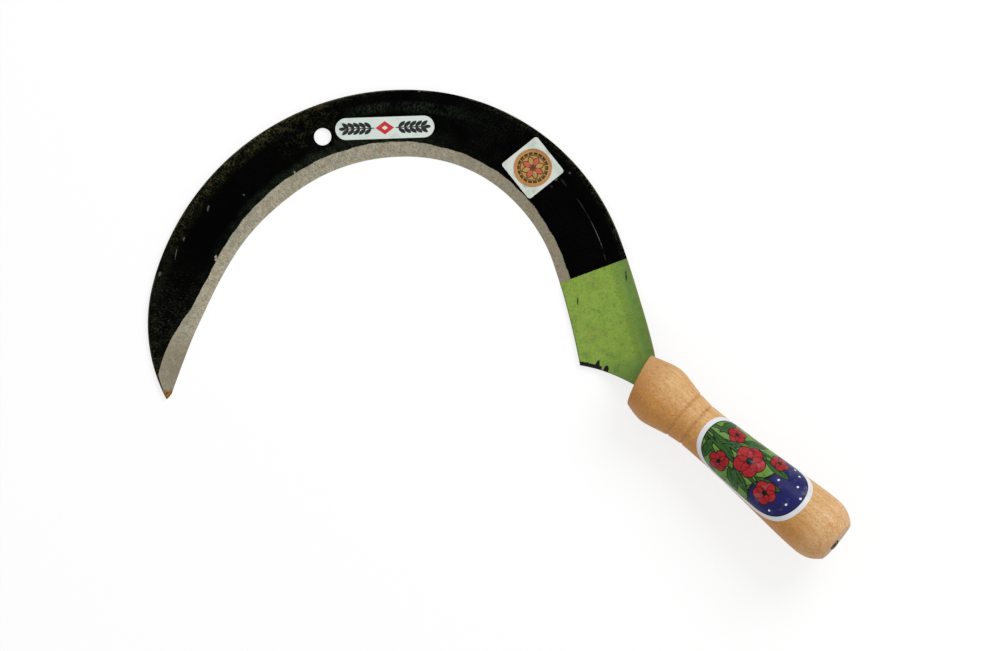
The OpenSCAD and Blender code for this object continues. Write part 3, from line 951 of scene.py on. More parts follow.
    def slot_loops(self) -> list[list[Array]]:
        """Return the corners of the two slots that the wood has for the shoulder and the tang."""
        _, wood_back, wood_front, tang_back, tang_front = self.neck_corners()
        g = self.clearance
        ahead = -self.front_r * self.cut - 1.0
        reach = (ahead - wood_back[0]) / (tang_back[0] - wood_back[0])
        level = self.tang_z - self.neck_thickness / 2
        shoulder = ((ahead, wood_front[1] - g, mix(wood_back[1], tang_back[1], reach) + g),
                    (self.shoulder_depth + g, tang_front[1] - g, tang_back[1] + g))
        slots = [[(x, y0, y1, level + self.tang_slope[1] * x - g,
                   level + self.tang_slope[1] * x + self.neck_thickness + g) for x, y0, y1 in shoulder]]
        bar = []
        for x in (self.shoulder_depth - self.tang_root[0] / 2 - g, self.handle_length + 1.0):
            t = x / self.handle_length
            w = mix(self.tang_root[0], self.tang_end[0], t) / 2 + g
            h = mix(self.tang_root[1], self.tang_end[1], t) / 2 + g
            y, z = self.tang_slope * x + np.array([0.0, self.tang_z])
            bar.append((x, y - w, y + w, z - h, z + h))
        slots.append(bar)
        return [[self.placed(self.tipped(np.array([(x, y0, z0), (x, y0, z1), (x, y1, z1), (x, y1, z0)])))
                 for x, y0, y1, z0, z1 in ends] for ends in slots]


# Handle


@dataclass
class Handle:
    """The turned grip: askew front, bulge, two ring grooves, waist, swelling and flat butt."""

    blade: Blade
    length: float = 141.0
    bulge: Pair = (15.0, 35.8)
    waist: Pair = (43.0, 27.0)
    swell: Pair = (125.6, 36.4)
    butt_d: float = 24.0
    grooves: Pair = (31.5, 40.5)
    groove_half: float = 1.3
    groove_depth: float = 0.5
    front_run: Pair = (1.3, 1.8)
    neck_run: Pair = (1.5, 2.3)
    palm_run: Pair = (1.8, 1.6)
    butt_run: Pair = (2.6, 1.0)
    edge_round: float = 0.5
    askew_run: float = 12.0
    sides: int = 168
    rows: int = 124
    row_span: Pair = (0.8, 1.4)
    row_gap: float = 0.2
    crease: float = 50.0

    def radius(self, x: Array) -> Array:
        """Return the outline's radius: four swings from the front to the butt, without the grooves.

        Args:
            x: distances along the handle.

        Returns:
            The radii.
        """
        start = -self.blade.front_r * self.blade.cut
        front = 2 * self.blade.front_r
        spans = ((start, front, *self.bulge, self.front_run), (*self.bulge, *self.waist, self.neck_run),
                 (*self.waist, *self.swell, self.palm_run),
                 (*self.swell, self.length, self.butt_d, self.butt_run))
        ends = [span[2] for span in spans[:-1]]
        runs = [mix(d0, d1, swing((x - x0) / (x1 - x0), run)) / 2 for x0, d0, x1, d1, run in spans]
        return np.choose(np.searchsorted(ends, x, side="right"), runs)

    def build(self) -> bpy.types.Object:
        """Build the grip as rings round its centre line, with the askew front as its first ring.

        Round the front, each angle's ring starts where the outline meets the plane x = -y tan(cut).
        The rings spread evenly from there. Both rims are eased by a quarter round.
        """
        angle = np.linspace(0.0, 2 * np.pi, self.sides, endpoint=False)
        front = np.zeros_like(angle)
        for _ in range(12):
            front = -self.radius(front) * np.sin(angle) * self.blade.cut
        over_groove = self.groove_half * np.linspace(-1.3, 1.3, 9)
        groove_rows = np.concatenate([g + over_groove for g in self.grooves])
        near_front = np.array([0.0, 0.06, 0.16, 0.3, 0.5])
        near_butt = self.length - np.array([0.8, 0.4, 0.15, 0.0])
        first, last = self.row_span
        plain = np.concatenate([np.linspace(first, self.length - last, self.rows), near_butt])
        keep = np.min(np.abs(plain[:, None] - groove_rows[None, :]), axis=1) > self.row_gap
        marks = np.sort(np.concatenate([near_front, plain[keep], groove_rows]))
        blend = smooth(1.0 - marks / self.askew_run)[:, None]
        x = marks[:, None] + blend * front[None, :]
        r = self.radius(np.maximum(x, front[None, :]))
        for g in self.grooves:
            r = r - self.groove_depth * smooth(1.0 - np.abs(x - g) / self.groove_half)
        from_front = held(1.0 - marks / self.edge_round)
        from_butt = held(1.0 - (self.length - marks) / self.edge_round)
        eased = self.edge_round * (2.0 - np.sqrt(1.0 - from_front**2) - np.sqrt(1.0 - from_butt**2))
        r = r - eased[:, None]
        y = r * np.sin(angle)[None, :]
        z = r * np.cos(angle)[None, :]
        front_cap = [np.dstack([x[0] * k, y[0] * k, z[0] * k]) for k in (0.08, 0.22, 0.45, 0.72)]
        butt_cap = [np.dstack([x[-1], y[-1] * k, z[-1] * k]) for k in (0.94, 0.72, 0.45, 0.22, 0.08)]
        rings = np.concatenate(front_cap + [np.dstack([x, y, z])] + butt_cap)
        points = rings.reshape(-1, 3) + np.array([0.0, 0.0, self.blade.axis_z])
        points = self.blade.placed(self.blade.tipped(points))
        faces = tube_faces(len(points), self.sides)
        piece = as_piece("grip_turned", points, faces, {}, ["handle"], crease=self.crease)
        for loops in self.blade.slot_loops():
            carve(piece, loops)
        return piece


# Labels and transfer


def even_outline(length: float, width: float, corner: float, count: int) -> Array:
    """Return points at equal distances along a rectangle with round corners.

    A loop with an equal count of points on each corner is drawn first, and then divided by its length.

    Args:
        length: the rectangle's length.
        width: its width.
        corner: its corners' radius, cut to half a side.
        count: number of points.

    Returns:
        The points, a row each.
    """
    r = min(corner, length / 2, width / 2)
    quarter = 100
    turn = np.repeat(np.arange(4), quarter)
    a = np.pi / 2 * (turn + (np.tile(np.arange(quarter), 4) + 0.5) / quarter)
    right = np.where((turn == 0) | (turn == 3), 1.0, -1.0)
    ahead = np.where(turn < 2, 1.0, -1.0)
    loop = np.stack([right * (length / 2 - r) + r * np.cos(a), ahead * (width / 2 - r) + r * np.sin(a)], 1)
    closed = np.concatenate([loop, loop[:1]])
    run = np.concatenate([[0.0], np.cumsum(np.linalg.norm(np.diff(closed, axis=0), axis=1))])
    at = np.linspace(0.0, run[-1], count, endpoint=False)
    return np.stack([np.interp(at, run, closed[:, k]) for k in (0, 1)], 1)


def shrinking_rings(outline: Array, rings: int) -> Array:
    """Return the middle, then the outline shrunk evenly to it, the smallest ring first."""
    shares = np.arange(1, rings + 1) / rings
    return np.concatenate([np.zeros((1, 2)), (shares[:, None, None] * outline[None]).reshape(-1, 2)])


def sheet_faces(rings: int, count: int) -> list:
    """Return the faces of a thin closed sheet: fans and rings on both sides, and the rim.

    Args:
        rings: number of rings on a side.
        count: number of points on a ring.

    Returns:
        The vertex numbers of each face.
    """
    face = 1 + rings * count
    index = 1 + np.arange(rings * count).reshape(rings, count)
    first = index[0]
    fan = np.stack([np.zeros_like(first), first, np.roll(first, -1)], axis=1)
    bands = grid_faces(index, wrap=True)
    rim = grid_faces(np.stack([index[-1], index[-1] + face]), wrap=True)
    return sum([f.tolist() for f in (fan, bands, fan + face, bands + face, rim)], [])


@dataclass
class BladeLabel:
    """A printed film stuck on the blade, bent over the rib and the web under it."""

    name: str
    node: str
    blade: Blade
    length: float
    width: float
    corner: float
    at: float
    inset: float
    turn: float
    slot: Slot = Slot.FILM
    low: float = 0.05
    film: float = 0.15
    rings: int = 44
    count: int = 320

    def middle(self) -> tuple[Array, float]:
        """Return the label's middle in the build frame and the direction of its length."""
        back, inward = self.blade.line.at(np.array([self.at]))
        heading = math.atan2(-inward[0, 0], inward[0, 1])
        return (back + self.inset * inward)[0], heading + math.pi + math.radians(self.turn)

    def design(self, plan: Array) -> Fields:
        """Return the signed distances of what is printed on the label."""
        return {}

    def relief(self, plan: Array) -> Array:
        """Return how far the upper face stands over the flat film."""
        return np.zeros(len(plan))

    def build(self) -> bpy.types.Object:
        """Build the film: its outline in plan, its heights from the blade's upper side."""
        plan = shrinking_rings(even_outline(self.length, self.width, self.corner, self.count), self.rings)
        centre, a = self.middle()
        xy = centre + np.stack(turned(plan[:, 0], plan[:, 1], a), 1)
        ground = self.blade.top_at(xy) + self.low
        place = xy - np.array(self.blade.origin)
        upper = np.column_stack([place, ground + self.film + self.relief(plan)])
        lower = np.column_stack([place, ground])
        doubled = {key: np.concatenate([value, value]) for key, value in self.design(plan).items()}
        return as_piece(self.name, np.concatenate([lower, upper]), sheet_faces(self.rings, self.count),
                        doubled, [self.node])


@dataclass
class LongLabel(BladeLabel):
    """White film with an ear of grain in black on each side of a red lozenge."""

    pairs: int = 5
    grain_from: float = 7.4
    grain_pitch: float = 3.1
    grain_run: float = 3.9
    grain_rise: Pair = (0.3, 3.3)
    grain_width: float = 2.1
    top_grain: Triple = (21.6, 25.4, 2.0)
    stem: Triple = (6.2, 22.0, 0.3)
    lozenge_half: float = 3.7
    lozenge_slope: float = 0.72
    lozenge_line: float = 2.0

    def design(self, plan: Array) -> Fields:
        """Draw the ears as pairs of leaves on a stem, and the lozenge between them.

        Args:
            plan: points of the flat label, a row each.

        Returns:
            The signed distances of the black and the red ink.
        """
        grains = []
        for side in (-1.0, 1.0):
            for step in range(self.pairs):
                foot = side * (self.grain_from + self.grain_pitch * step)
                tip = foot + side * self.grain_run
                low, high = self.grain_rise
                grains += [leaf(plan, (foot, low * way), (tip, high * way), self.grain_width)
                           for way in (-1.0, 1.0)]
            for draw, (start, end, size) in ((leaf, self.top_grain), (stroke, self.stem)):
                grains.append(draw(plan, (side * start, 0.0), (side * end, 0.0), size))
        slope = self.lozenge_slope
        lozenge = np.abs(plan[:, 0]) * slope + np.abs(plan[:, 1]) - self.lozenge_half
        lozenge = lozenge / math.hypot(slope, 1.0)
        return {"ink": union(grains), "red": np.maximum(lozenge, -(lozenge + self.lozenge_line))}


@dataclass
class Seal(BladeLabel):
    """Round foil seal, embossed with a ring of dashes and a rosette of eight petals."""

    dashes: int = 18
    dash_ring: float = 7.9
    dash_half: float = 0.68
    dash_share: float = 0.41
    line_ring: float = 6.8
    rim_ring: float = 9.2
    petals: int = 8
    petal_run: Pair = (1.3, 6.2)
    petal_width: float = 3.0
    heart_r: float = 1.15

    def design(self, plan: Array) -> Fields:
        """Draw the rim, the ring of dashes, and the rosette with its coloured petals.

        Args:
            plan: points of the flat seal, a row each.

        Returns:
            The signed distances of each ink, and of the petals for the embossing.
        """
        radius = np.hypot(plan[:, 0], plan[:, 1])
        place = np.arctan2(plan[:, 1], plan[:, 0])
        pitch = 2 * np.pi / self.dashes
        off = np.abs(place % pitch - pitch / 2) * self.dash_ring
        dash = np.maximum(np.abs(radius - self.dash_ring) - self.dash_half,
                          off - self.dash_share * pitch * self.dash_ring)
        turns = [2 * np.pi * (k + 0.5) / self.petals for k in range(self.petals)]
        rays = np.stack([np.cos(turns), np.sin(turns)], 1)
        start, end = self.petal_run
        leaves = [leaf(plan, start * ray, end * ray, self.petal_width) for ray in rays]
        petals = union(leaves)
        ink = union([np.abs(radius - self.line_ring) - 0.2, dash, np.abs(petals) - 0.26])
        return {"ink": ink, "petal": petals, "rim": self.rim_ring - radius, "blush": union(leaves[::2]),
                "red": disc(plan, (0.0, 0.0), self.heart_r)}

    def relief(self, plan: Array) -> Array:
        """Return the embossing: petals and dashes stand up by a smooth step of their distance."""
        marks = self.design(plan)
        return 0.09 * smooth(-marks["petal"] / 0.8) + 0.05 * smooth(0.3 - marks["ink"] / 0.4)


@dataclass
class Transfer:
    """Printed film round the handle: poppies in a meadow at night, inside a white border."""

    handle: Handle
    from_front: float = 45.6
    from_butt: float = 24.0
    width: float = 46.6
    turn: float = 11.0
    border: float = 2.8
    glue: float = 0.05
    film: float = 0.15
    rings: int = 70
    count: int = 340

    def design(self, plan: Array) -> Fields:
        """Draw the picture: a meadow fills its front and the night sky its end.

        The sky begins at 9 + 3 sin(v / 5 + 0.5) along the handle. Each poppy is five discs in a ring.

        Args:
            plan: points of the flat film, a row each.

        Returns:
            The signed distances of the picture's field and of each ink.
        """
        length = self.handle.length - self.from_front - self.from_butt
        inner = self.width / 2 - self.border
        straight = (length - self.width) / 2
        field_edge = np.hypot(np.maximum(np.abs(plan[:, 0]) - straight, 0.0), plan[:, 1]) - inner
        sky = 9.0 + 3.0 * np.sin(plan[:, 1] / 5.0 + 0.5) - plan[:, 0]
        flowers = (((-4.0, 0.5), 8.8, 0.3), ((-19.0, 8.5), 5.2, 0.9), ((13.5, -8.0), 6.6, 0.1),
                   ((-17.5, -10.5), 5.8, 0.6), ((9.0, 12.0), 5.4, 0.2))
        petals, folds, hearts, stems = [], [], [], []
        for centre, size, start in flowers:
            out = 0.52 * size
            turns = [start + 2 * math.pi * k / 5 for k in range(5)]
            middles = [(centre[0] + out * math.cos(t), centre[1] + out * math.sin(t)) for t in turns]
            discs = [disc(plan, middle, 0.5 * size) for middle in middles]
            petals.append(union(discs))
            folds.append(np.maximum(union([np.abs(d) - 0.22 for d in discs]), petals[-1]))
            hearts.append(disc(plan, centre, 0.24 * size))
            stems.append(stroke(plan, centre, (-34.0, centre[1] * 0.3), 0.55))
        leaf_ends = (((-30.0, 0.0), (-12.0, -3.5), 3.6), ((-28.0, -3.0), (-26.0, -15.0), 4.2),
                     ((-27.0, 3.0), (-24.0, 16.0), 4.4), ((-13.0, 7.0), (-2.0, 16.5), 4.8),
                     ((-11.0, -9.0), (0.0, -18.5), 5.2), ((-9.0, -7.5), (6.0, -15.0), 4.0),
                     ((-6.0, 8.5), (4.0, 6.0), 3.8), ((4.0, -4.5), (20.0, -2.0), 4.2),
                     ((2.0, 7.0), (19.0, 6.5), 4.4), ((-22.0, -1.5), (-13.0, 4.5), 3.0))
        leaves = [leaf(plan, a, b, w) for a, b, w in leaf_ends]
        veins = [stroke(plan, a, mix(np.array(a), np.array(b), 0.86), 0.2) for a, b, _ in leaf_ends]
        tufts = ((-29.0, 9.0), (-29.5, -8.5), (-21.0, -17.5), (-18.0, 17.5), (-9.0, -15.0), (-8.0, 19.0),
                 (-22.5, 1.5), (1.0, -11.5), (3.0, 20.0), (3.5, 15.0), (-12.5, -20.0), (7.0, -19.0))
        grass = [stroke(plan, (x, y), (x + 4.2, y + lean), 0.28)
                 for x, y in tufts for lean in (-1.6, 0.0, 1.5)]
        stars = ((25.5, 6.5), (22.0, 13.5), (27.0, -5.5), (17.5, 16.5), (31.0, 2.0), (21.5, -14.5),
                 (15.0, 2.5))
        return {"field": field_edge, "sky": sky, "grass": union(grass), "leaves": union(leaves + stems),
                "veins": union(veins), "petals": union(petals), "folds": union(folds),
                "hearts": union(hearts), "stars": union([disc(plan, c, 0.7) for c in stars])}

    def build(self) -> bpy.types.Object:
        """Build the film, wrapped round the turned surface at its true arc lengths.

        A plan point's second value over the radius there is its angle, counted from the top.
        """
        length = self.handle.length - self.from_front - self.from_butt
        plan = shrinking_rings(even_outline(length, self.width, self.width, self.count), self.rings)
        x = self.from_front + length / 2 + plan[:, 0]
        r = self.handle.radius(x)
        angle = math.radians(self.turn) + plan[:, 1] / r
        blade = self.handle.blade
        sides = [np.column_stack([x, (r + high) * np.sin(angle), blade.axis_z + (r + high) * np.cos(angle)])
                 for high in (self.glue, self.glue + self.film)]
        points = blade.placed(blade.tipped(np.concatenate(sides)))
        fields = {key: np.concatenate([value, value]) for key, value in self.design(plan).items()}
        return as_piece("transfer_film", points, sheet_faces(self.rings, self.count), fields,
                        ["transfer"])


# Finishes


def named(tree: bpy.types.NodeTree, name: str) -> Value:
    """Return the value of a mesh's point attribute."""
    return add(tree, "Attribute", out="Fac", attribute_name=name)


def millimetres(tree: bpy.types.NodeTree) -> Value:
    """Return object coordinates in millimetres."""
    return add(tree, "Mapping", {"Vector": add(tree, "TexCoord", out="Object"), "Scale": (1.0 / MM,) * 3})


@dataclass(frozen=True)
class Grain:
    """Noise over a set of coordinates in millimetres, whose grains have a length, width and height."""

    place: Value

    def at(self, size: float | Sequence[float], seed: float, detail: float = 2.0,
           roughness: float = 0.55) -> Value:
        """Return the noise for one size of grain, a value about 0.5 and mostly between 0.3 and 0.7.

        Args:
            size: millimetres that a grain takes up along each axis, or along all of them.
            seed: shift of the pattern, in grains.
            detail: octaves of finer noise on it.
            roughness: how strong those are.

        Returns:
            The noise.
        """
        tree = self.place.tree
        scale = tuple(1.0 / s for s in np.broadcast_to(size, 3).tolist())
        shift = (seed, 1.7 * seed, 2.3 * seed)
        scaled = add(tree, "Mapping", {"Vector": self.place, "Location": shift, "Scale": scale})
        return add(tree, "TexNoise", {"Vector": scaled, "Scale": 1.0, "Detail": detail,
                                      "Roughness": roughness})


@dataclass(frozen=True)
class Mark:
    """A scratch, a nick or a spot: its middle along and from the back, and its size, in millimetres."""

    s: float
    v: float
    length: float
    width: float
    lean: float = 0.0

    def mask(self, along: Value, across: Value, noise: Value) -> Value:
        """Return a mask of the mark: the length of its own scaled coordinates, made ragged by noise.

        Args:
            along: distance along the piece.
            across: distance across it.
            noise: noise finer than the mark.

        Returns:
            A mask that is 1 on the mark.
        """
        plan = add(along.tree, "CombineXYZ", {"X": along, "Y": across})
        own = add(along.tree, "Mapping", {"Vector": plan, "Location": (self.s, self.v, 0.0),
                                          "Rotation": (0.0, 0.0, math.radians(self.lean)),
                                          "Scale": (self.length / 2, self.width / 2, 1.0)},
                  vector_type="TEXTURE")
        far = add(along.tree, "VectorMath", {0: own}, out="Value", operation="LENGTH")
        return (noise * 3.2 + far).ramp(2.9, 2.3)


@dataclass(frozen=True)
class BladeSpot:
    """What the blade's paints read: places along, from the back and past the bevel's line, and noise."""

    along: Value
    across: Value
    ground: Value
    broad: Value
    middle: Value
    fine: Value
    plan: Grain

    def marks(self, marks: Sequence[Mark]) -> Value:
        """Return a mask that is 1 on any of some marks."""
        return reduce(Value.__or__, [mark.mask(self.along, self.across, self.fine) for mark in marks])


@dataclass(frozen=True)
class PaintedSteel:
    """Forged carbon steel, dipped in black paint, its heel in green, and the bevel ground bare.

    The black is a thin matt stoving paint that forge scale and handling show through as dull
    speckles: greenish on the crown and beside the bevel, olive along the worn back. On the crown the
    greenish band over the rib's slope is partly a painted sheen, and a thin pale line at the rib's foot
    is a painted highlight. The green is thicker and softer, chipped at the heel's lower corner, and
    painted darker towards the back and towards the wood as shade. The ground bevel is dull, warm and
    clouded, with fine wheel marks across it and rust at the point, and is painted darker at the heel
    and paler far along as light and shade.
    """

    black: str = "#020202"
    dust: str = "#161a14"
    scale_green: str = "#2a3327"
    scale_olive: str = "#47462f"
    scale_grey: str = "#33332b"
    worn_back: str = "#6e6a55"
    scratch_and_highlight: str = "#7b7d74"
    spot_brown: str = "#5c452e"
    green: str = "#84a23e"
    green_pale: str = "#8da645"
    green_warm: str = "#8b8f40"
    green_deep: str = "#4f733b"
    green_olive: str = "#72733c"
    chip: str = "#0b0d08"
    steel_heel: str = "#a69d86"
    steel_far: str = "#c0bba5"
    steel_tip: str = "#99937d"
    steel_dark: str = "#857c6b"
    steel_pink: str = "#b39d8a"
    steel_green: str = "#9aa18e"
    steel_straw: str = "#b2a276"
    rust: str = "#a5722f"
    rust_dark: str = "#4e3219"
    paint_line: float = 51.4
    paint_lean: float = 0.033
    chip_reach: float = 15.8
    chip_teeth: tuple[Triple, ...] = ((9.2, 1.4, 2.6), (12.4, 0.8, -2.2), (14.2, 1.4, 1.2))
    nicks: tuple[Mark, ...] = (Mark(42.3, 3.5, 4.8, 0.9, -14.0), Mark(37.1, 33.0, 4.4, 0.9, -14.0))
    spots: tuple[Mark, ...] = (Mark(264.7, 1.9, 4.0, 2.0), Mark(340.5, 2.2, 2.6, 1.6))
    scratches: tuple[Mark, ...] = (Mark(384.2, 6.7, 6.0, 0.5, 12.0), Mark(351.9, 9.9, 2.8, 0.9, 20.0),
                                   Mark(398.4, 2.2, 2.2, 1.3), Mark(331.4, 20.3, 1.3, 1.1),
                                   Mark(208.5, 0.6, 1.4, 1.2), Mark(109.4, 5.4, 1.3, 1.0),
                                   Mark(112.0, 13.4, 1.2, 1.6), Mark(374.7, 7.3, 2.6, 0.8, 10.0))
    # Most faint marks lie along the rib's foot and are painted highlight
    faint: tuple[Mark, ...] = (Mark(107.6, 11.4, 5.0, 0.6, -4.0), Mark(110.7, 17.9, 1.6, 1.2),
                               Mark(90.3, 11.0, 9.0, 0.6, 1.0), Mark(56.0, 11.3, 4.0, 0.5))
    tears: tuple[Mark, ...] = (Mark(295.9, 28.5, 1.1, 2.0), Mark(376.5, 27.9, 3.4, 1.6, 14.0))

    def build(self, length: float) -> bpy.types.Material:
        """Build the graph: black, then bare steel, then green, each laid over the last by its mask.

        Args:
            length: length of the blade's back in millimetres.

        Returns:
            The finish.
        """
        material, tree = new_material("painted_forged_steel")
        along, across, ground, upper = (named(tree, name) for name in ("along", "across", "ground", "upper"))
        block = Grain(millimetres(tree))
        middle, fine = block.at(4.5, 11.0, 3.0), block.at(1.0, 5.0, 3.0, 0.7)
        plan = Grain(add(tree, "CombineXYZ", {"X": along, "Y": across, "Z": upper}))
        spot = BladeSpot(along, across, ground, block.at(17.0, 3.0, 3.0), middle, fine, plan)
        bare, wheel = self.bare_steel(spot, length)
        # The wheel stops on an uneven line, and has torn it in two places
        bevel = ((wheel * 0.9 + ground).ramp(0.35, 0.55) | spot.marks(self.tears)) * upper.ramp(0.4, 0.6)
        is_bare = bevel | along.ramp(length - 6.5, length - 4.5)
        # The green ends on a straight line across the blade
        slanted = fine * 0.6 + (across * self.paint_lean + along)
        is_green = slanted.ramp(self.paint_line + 0.45, self.paint_line + 0.15)
        metal = is_bare * (is_green * -1.0 + 1.0)
        dull = metal.choose(middle.ramp(0.3, 0.7, 0.5, 0.64), fine.ramp(0.3, 0.7, 0.42, 0.54))
        colour = layers(tree, self.black_paint(spot), (bare, is_bare), (self.green_paint(spot), is_green))
        # Paint lies on forge scale a few hundredths of a millimetre rough, and the wheel cuts as deep
        return close_graph(material, metal.choose(fine, wheel), 0.45, 0.06, {
            "Base Color": colour, "Metallic": metal * 0.7, "Roughness": dull,
            "Specular IOR Level": metal.choose(is_green.choose(0.012, 0.2), 0.5)})

    def black_paint(self, spot: BladeSpot) -> Value:
        """Return the black paint's colour with its speckles, scratches and worn back.

        Args:
            spot: the places and noise that it reads.

        Returns:
            The colour.
        """
        along, across, broad, middle, fine = spot.along, spot.across, spot.broad, spot.middle, spot.fine
        # Thin dust clings between the two labels and shows in grains
        between = along.ramp(118.0, 150.0, 0.15, 0.8) * along.ramp(270.0, 200.0, 0.2, 1.0)
        dusty = broad.ramp(0.4, 0.6) * fine.ramp(0.44, 0.66) * between
        # Short curls of scale cross the crown in a band inside the rib, and lie beside the bevel. On the
        # crown the band lies over the rib's slope and is partly a painted sheen.
        curls = spot.plan.at((0.8, 1.5, 1.0), 31.0, 3.0, 0.8)
        crown = along.band(162.0, 204.0, 240.0, 256.0) * across.band(5.5, 8.0, 10.5, 13.5)
        crown = crown * broad.ramp(0.36, 0.48, 0.4, 1.0) * curls.ramp(0.45, 0.62)
        beside = spot.ground.ramp(along.ramp(260.0, 300.0, -11.0, -6.0), -2.0) * along.ramp(165.0, 235.0)
        beside = beside * along.ramp(400.0, 280.0, 0.2, 1.0) * middle.ramp(0.34, 0.62, 0.25, 1.0)
        beside = beside * curls.ramp(0.42, 0.68, 0.2, 1.0)
        dashes = spot.plan.at((0.7, 1.6, 1.0), 3.0, 2.0, 0.7)
        beak = along.ramp(375.0, 430.0, 0.0, 0.85) * middle.ramp(0.38, 0.6, 0.3, 1.0)
        # Olive scale gathers along the back, most of all past the crown
        outside = across.math("DIVIDE", along.ramp(235.0, 300.0, 2.5, 8.0))
        olive = outside.ramp(1.2, 0.1) * along.ramp(215.0, 290.0) * along.ramp(400.0, 335.0, 0.25, 1.0)
        olive = olive * middle.ramp(0.39, 0.61, 0.25, 1.0) * fine.ramp(0.44, 0.58)
        heel_side = across.ramp(4.2, 0.2) * along.ramp(190.0, 150.0)
        heel_side = heel_side * middle.ramp(0.36, 0.6, 0.2, 1.0) * fine.ramp(0.46, 0.62)
        # A few more speckles lie beside the hang hole
        hole_side = along.band(244.0, 268.0, 282.0, 302.0) * across.ramp(24.0, 12.0)
        hole_side = hole_side * middle.ramp(0.4, 0.62, 0.1, 1.0) * fine.ramp(0.46, 0.66)
        edge = across.ramp(0.9, 0.1) * spot.plan.at((14.0, 9.0, 9.0), 2.0).ramp(0.42, 0.56)
        # A painted highlight: the light caught at the rib's foot near the heel, laid in as a thin pale line
        # that breaks up away from its middle
        broken = spot.plan.at((6.0, 40.0, 9.0), 6.0, 3.0).ramp(0.3, 0.48, 0.3, 1.0)
        painted_highlight_line = across.band(10.6, 10.85, 11.0, 11.25) * broken
        painted_highlight_line = painted_highlight_line * along.ramp(60.0, 62.5) * along.ramp(88.0, 66.0, 0.0, 0.6)
        # The faint marks carry that painted highlight on along the rib's foot
        scratches_and_highlights = spot.marks(self.scratches) * 0.45 | spot.marks(self.faint) * 0.12
        return layers(along.tree, self.black, (self.dust, dusty), (self.scale_green, crown * 0.75 | beside),
                      (self.scale_grey, beak * dashes.ramp(0.5, 0.66)),
                      (self.scale_olive, olive | heel_side * 0.6 | hole_side * 0.4),
                      (self.worn_back, edge * fine.ramp(0.35, 0.6) * 0.8),
                      (self.spot_brown, spot.marks(self.spots) * 0.28),
                      (self.scratch_and_highlight, painted_highlight_line | scratches_and_highlights))

    def bare_steel(self, spot: BladeSpot, length: float) -> tuple[Value, Value]:
        """Return the ground steel's colour, and the height of its wheel marks across the bevel.

        Args:
            spot: the places and noise that it reads.
            length: length of the blade's back.

        Returns:
            The colour and the height.
        """
        along, across, broad, middle, fine = spot.along, spot.across, spot.broad, spot.middle, spot.fine
        wheel = spot.plan.at((0.5, 4.0, 1.0), 8.0, 2.0)
        patches = spot.plan.at((4.0, 2.6, 1.0), 23.0, 3.0, 0.6)
        stains = spot.plan.at((2.2, 1.6, 1.0), 51.0, 2.0)
        # Rust has begun at the point, most of all on the side of the back
        rusty = layers(along.tree, self.rust, (self.rust_dark, fine.ramp(0.44, 0.6)),
                       (self.rust_dark, across.ramp(1.6, 0.3, 0.0, 0.7)))
        from_point = middle * 1.6 + (across * -0.5 + along)
        # Painted light and shade: the bevel is darker at the heel and paler far along, as the lamp falls on
        # its turning face
        steel = layers(along.tree, self.steel_heel, (self.steel_far, along.ramp(60.0, 255.0)),
                       (self.steel_tip, along.ramp(425.0, 452.0)),
                       (self.steel_pink, patches.ramp(0.5, 0.64, 0.0, 0.9)),
                       (self.steel_green, middle.ramp(0.5, 0.66, 0.0, 0.65)),
                       (self.steel_straw, stains.ramp(0.54, 0.7, 0.0, 0.7)),
                       (self.steel_dark, broad.ramp(0.5, 0.75, 0.0, 0.35)),
                       (self.steel_dark, fine.ramp(0.46, 0.68, 0.0, 0.9)),
                       (self.steel_dark, wheel.ramp(0.48, 0.7, 0.0, 0.55)),
                       (rusty, from_point.ramp(length - 6.3, length - 3.6)))
        return steel, wheel

    def green_paint(self, spot: BladeSpot) -> Value:
        """Return the heel's green with painted shade along the back and towards the wood, its nicks and its
        chip.

        Args:
            spot: the places and noise that it reads.

        Returns:
            The colour.
        """
        along, across, broad, middle, fine = spot.along, spot.across, spot.broad, spot.middle, spot.fine
        rim, depth, front = (named(along.tree, name) for name in ("rim", "depth", "front"))
        # Painted shade: the green darkens towards the back, over the rib's slope
        painted_shade_towards_back = across.ramp(11.0, 3.0) * middle.ramp(0.3, 0.6, 0.35, 0.75)
        # The paint has flaked off the lower corner in one ragged strip with teeth
        strip = front.band(-1.5, -1.1, self.chip_reach - 0.4, self.chip_reach)
        jagged = fine * 1.4 + (middle * 1.2 + depth)
        for at, half, tall in self.chip_teeth:
            jagged = jagged - (front - at).math("ABSOLUTE").ramp(half, 0.3, 0.0, tall)
        return layers(along.tree, self.green, (self.green_pale, middle.ramp(0.45, 0.65)),
                      (self.green_warm, broad.ramp(0.52, 0.74, 0.0, 0.5)),
                      (self.green_deep, fine.ramp(0.46, 0.7, 0.0, 0.6)),
                      (self.green_deep, middle.ramp(0.46, 0.3, 0.0, 0.4)),
                      # Painted shade and shadow: darker towards the back, and towards the wood, where the
                      # handle shades the neck
                      (self.green_deep, painted_shade_towards_back | along.ramp(2.0, -28.0, 0.0, 0.55)),
                      (self.green_deep, across.math("MINIMUM", rim).ramp(0.7, 0.1, 0.0, 0.8)),
                      (self.green_olive, across.ramp(2.6, 0.4) * broad.ramp(0.36, 0.56, 0.25, 0.75)),
                      (self.chip, strip * jagged.ramp(3.7, 3.4) | spot.marks(self.nicks) * 0.85))


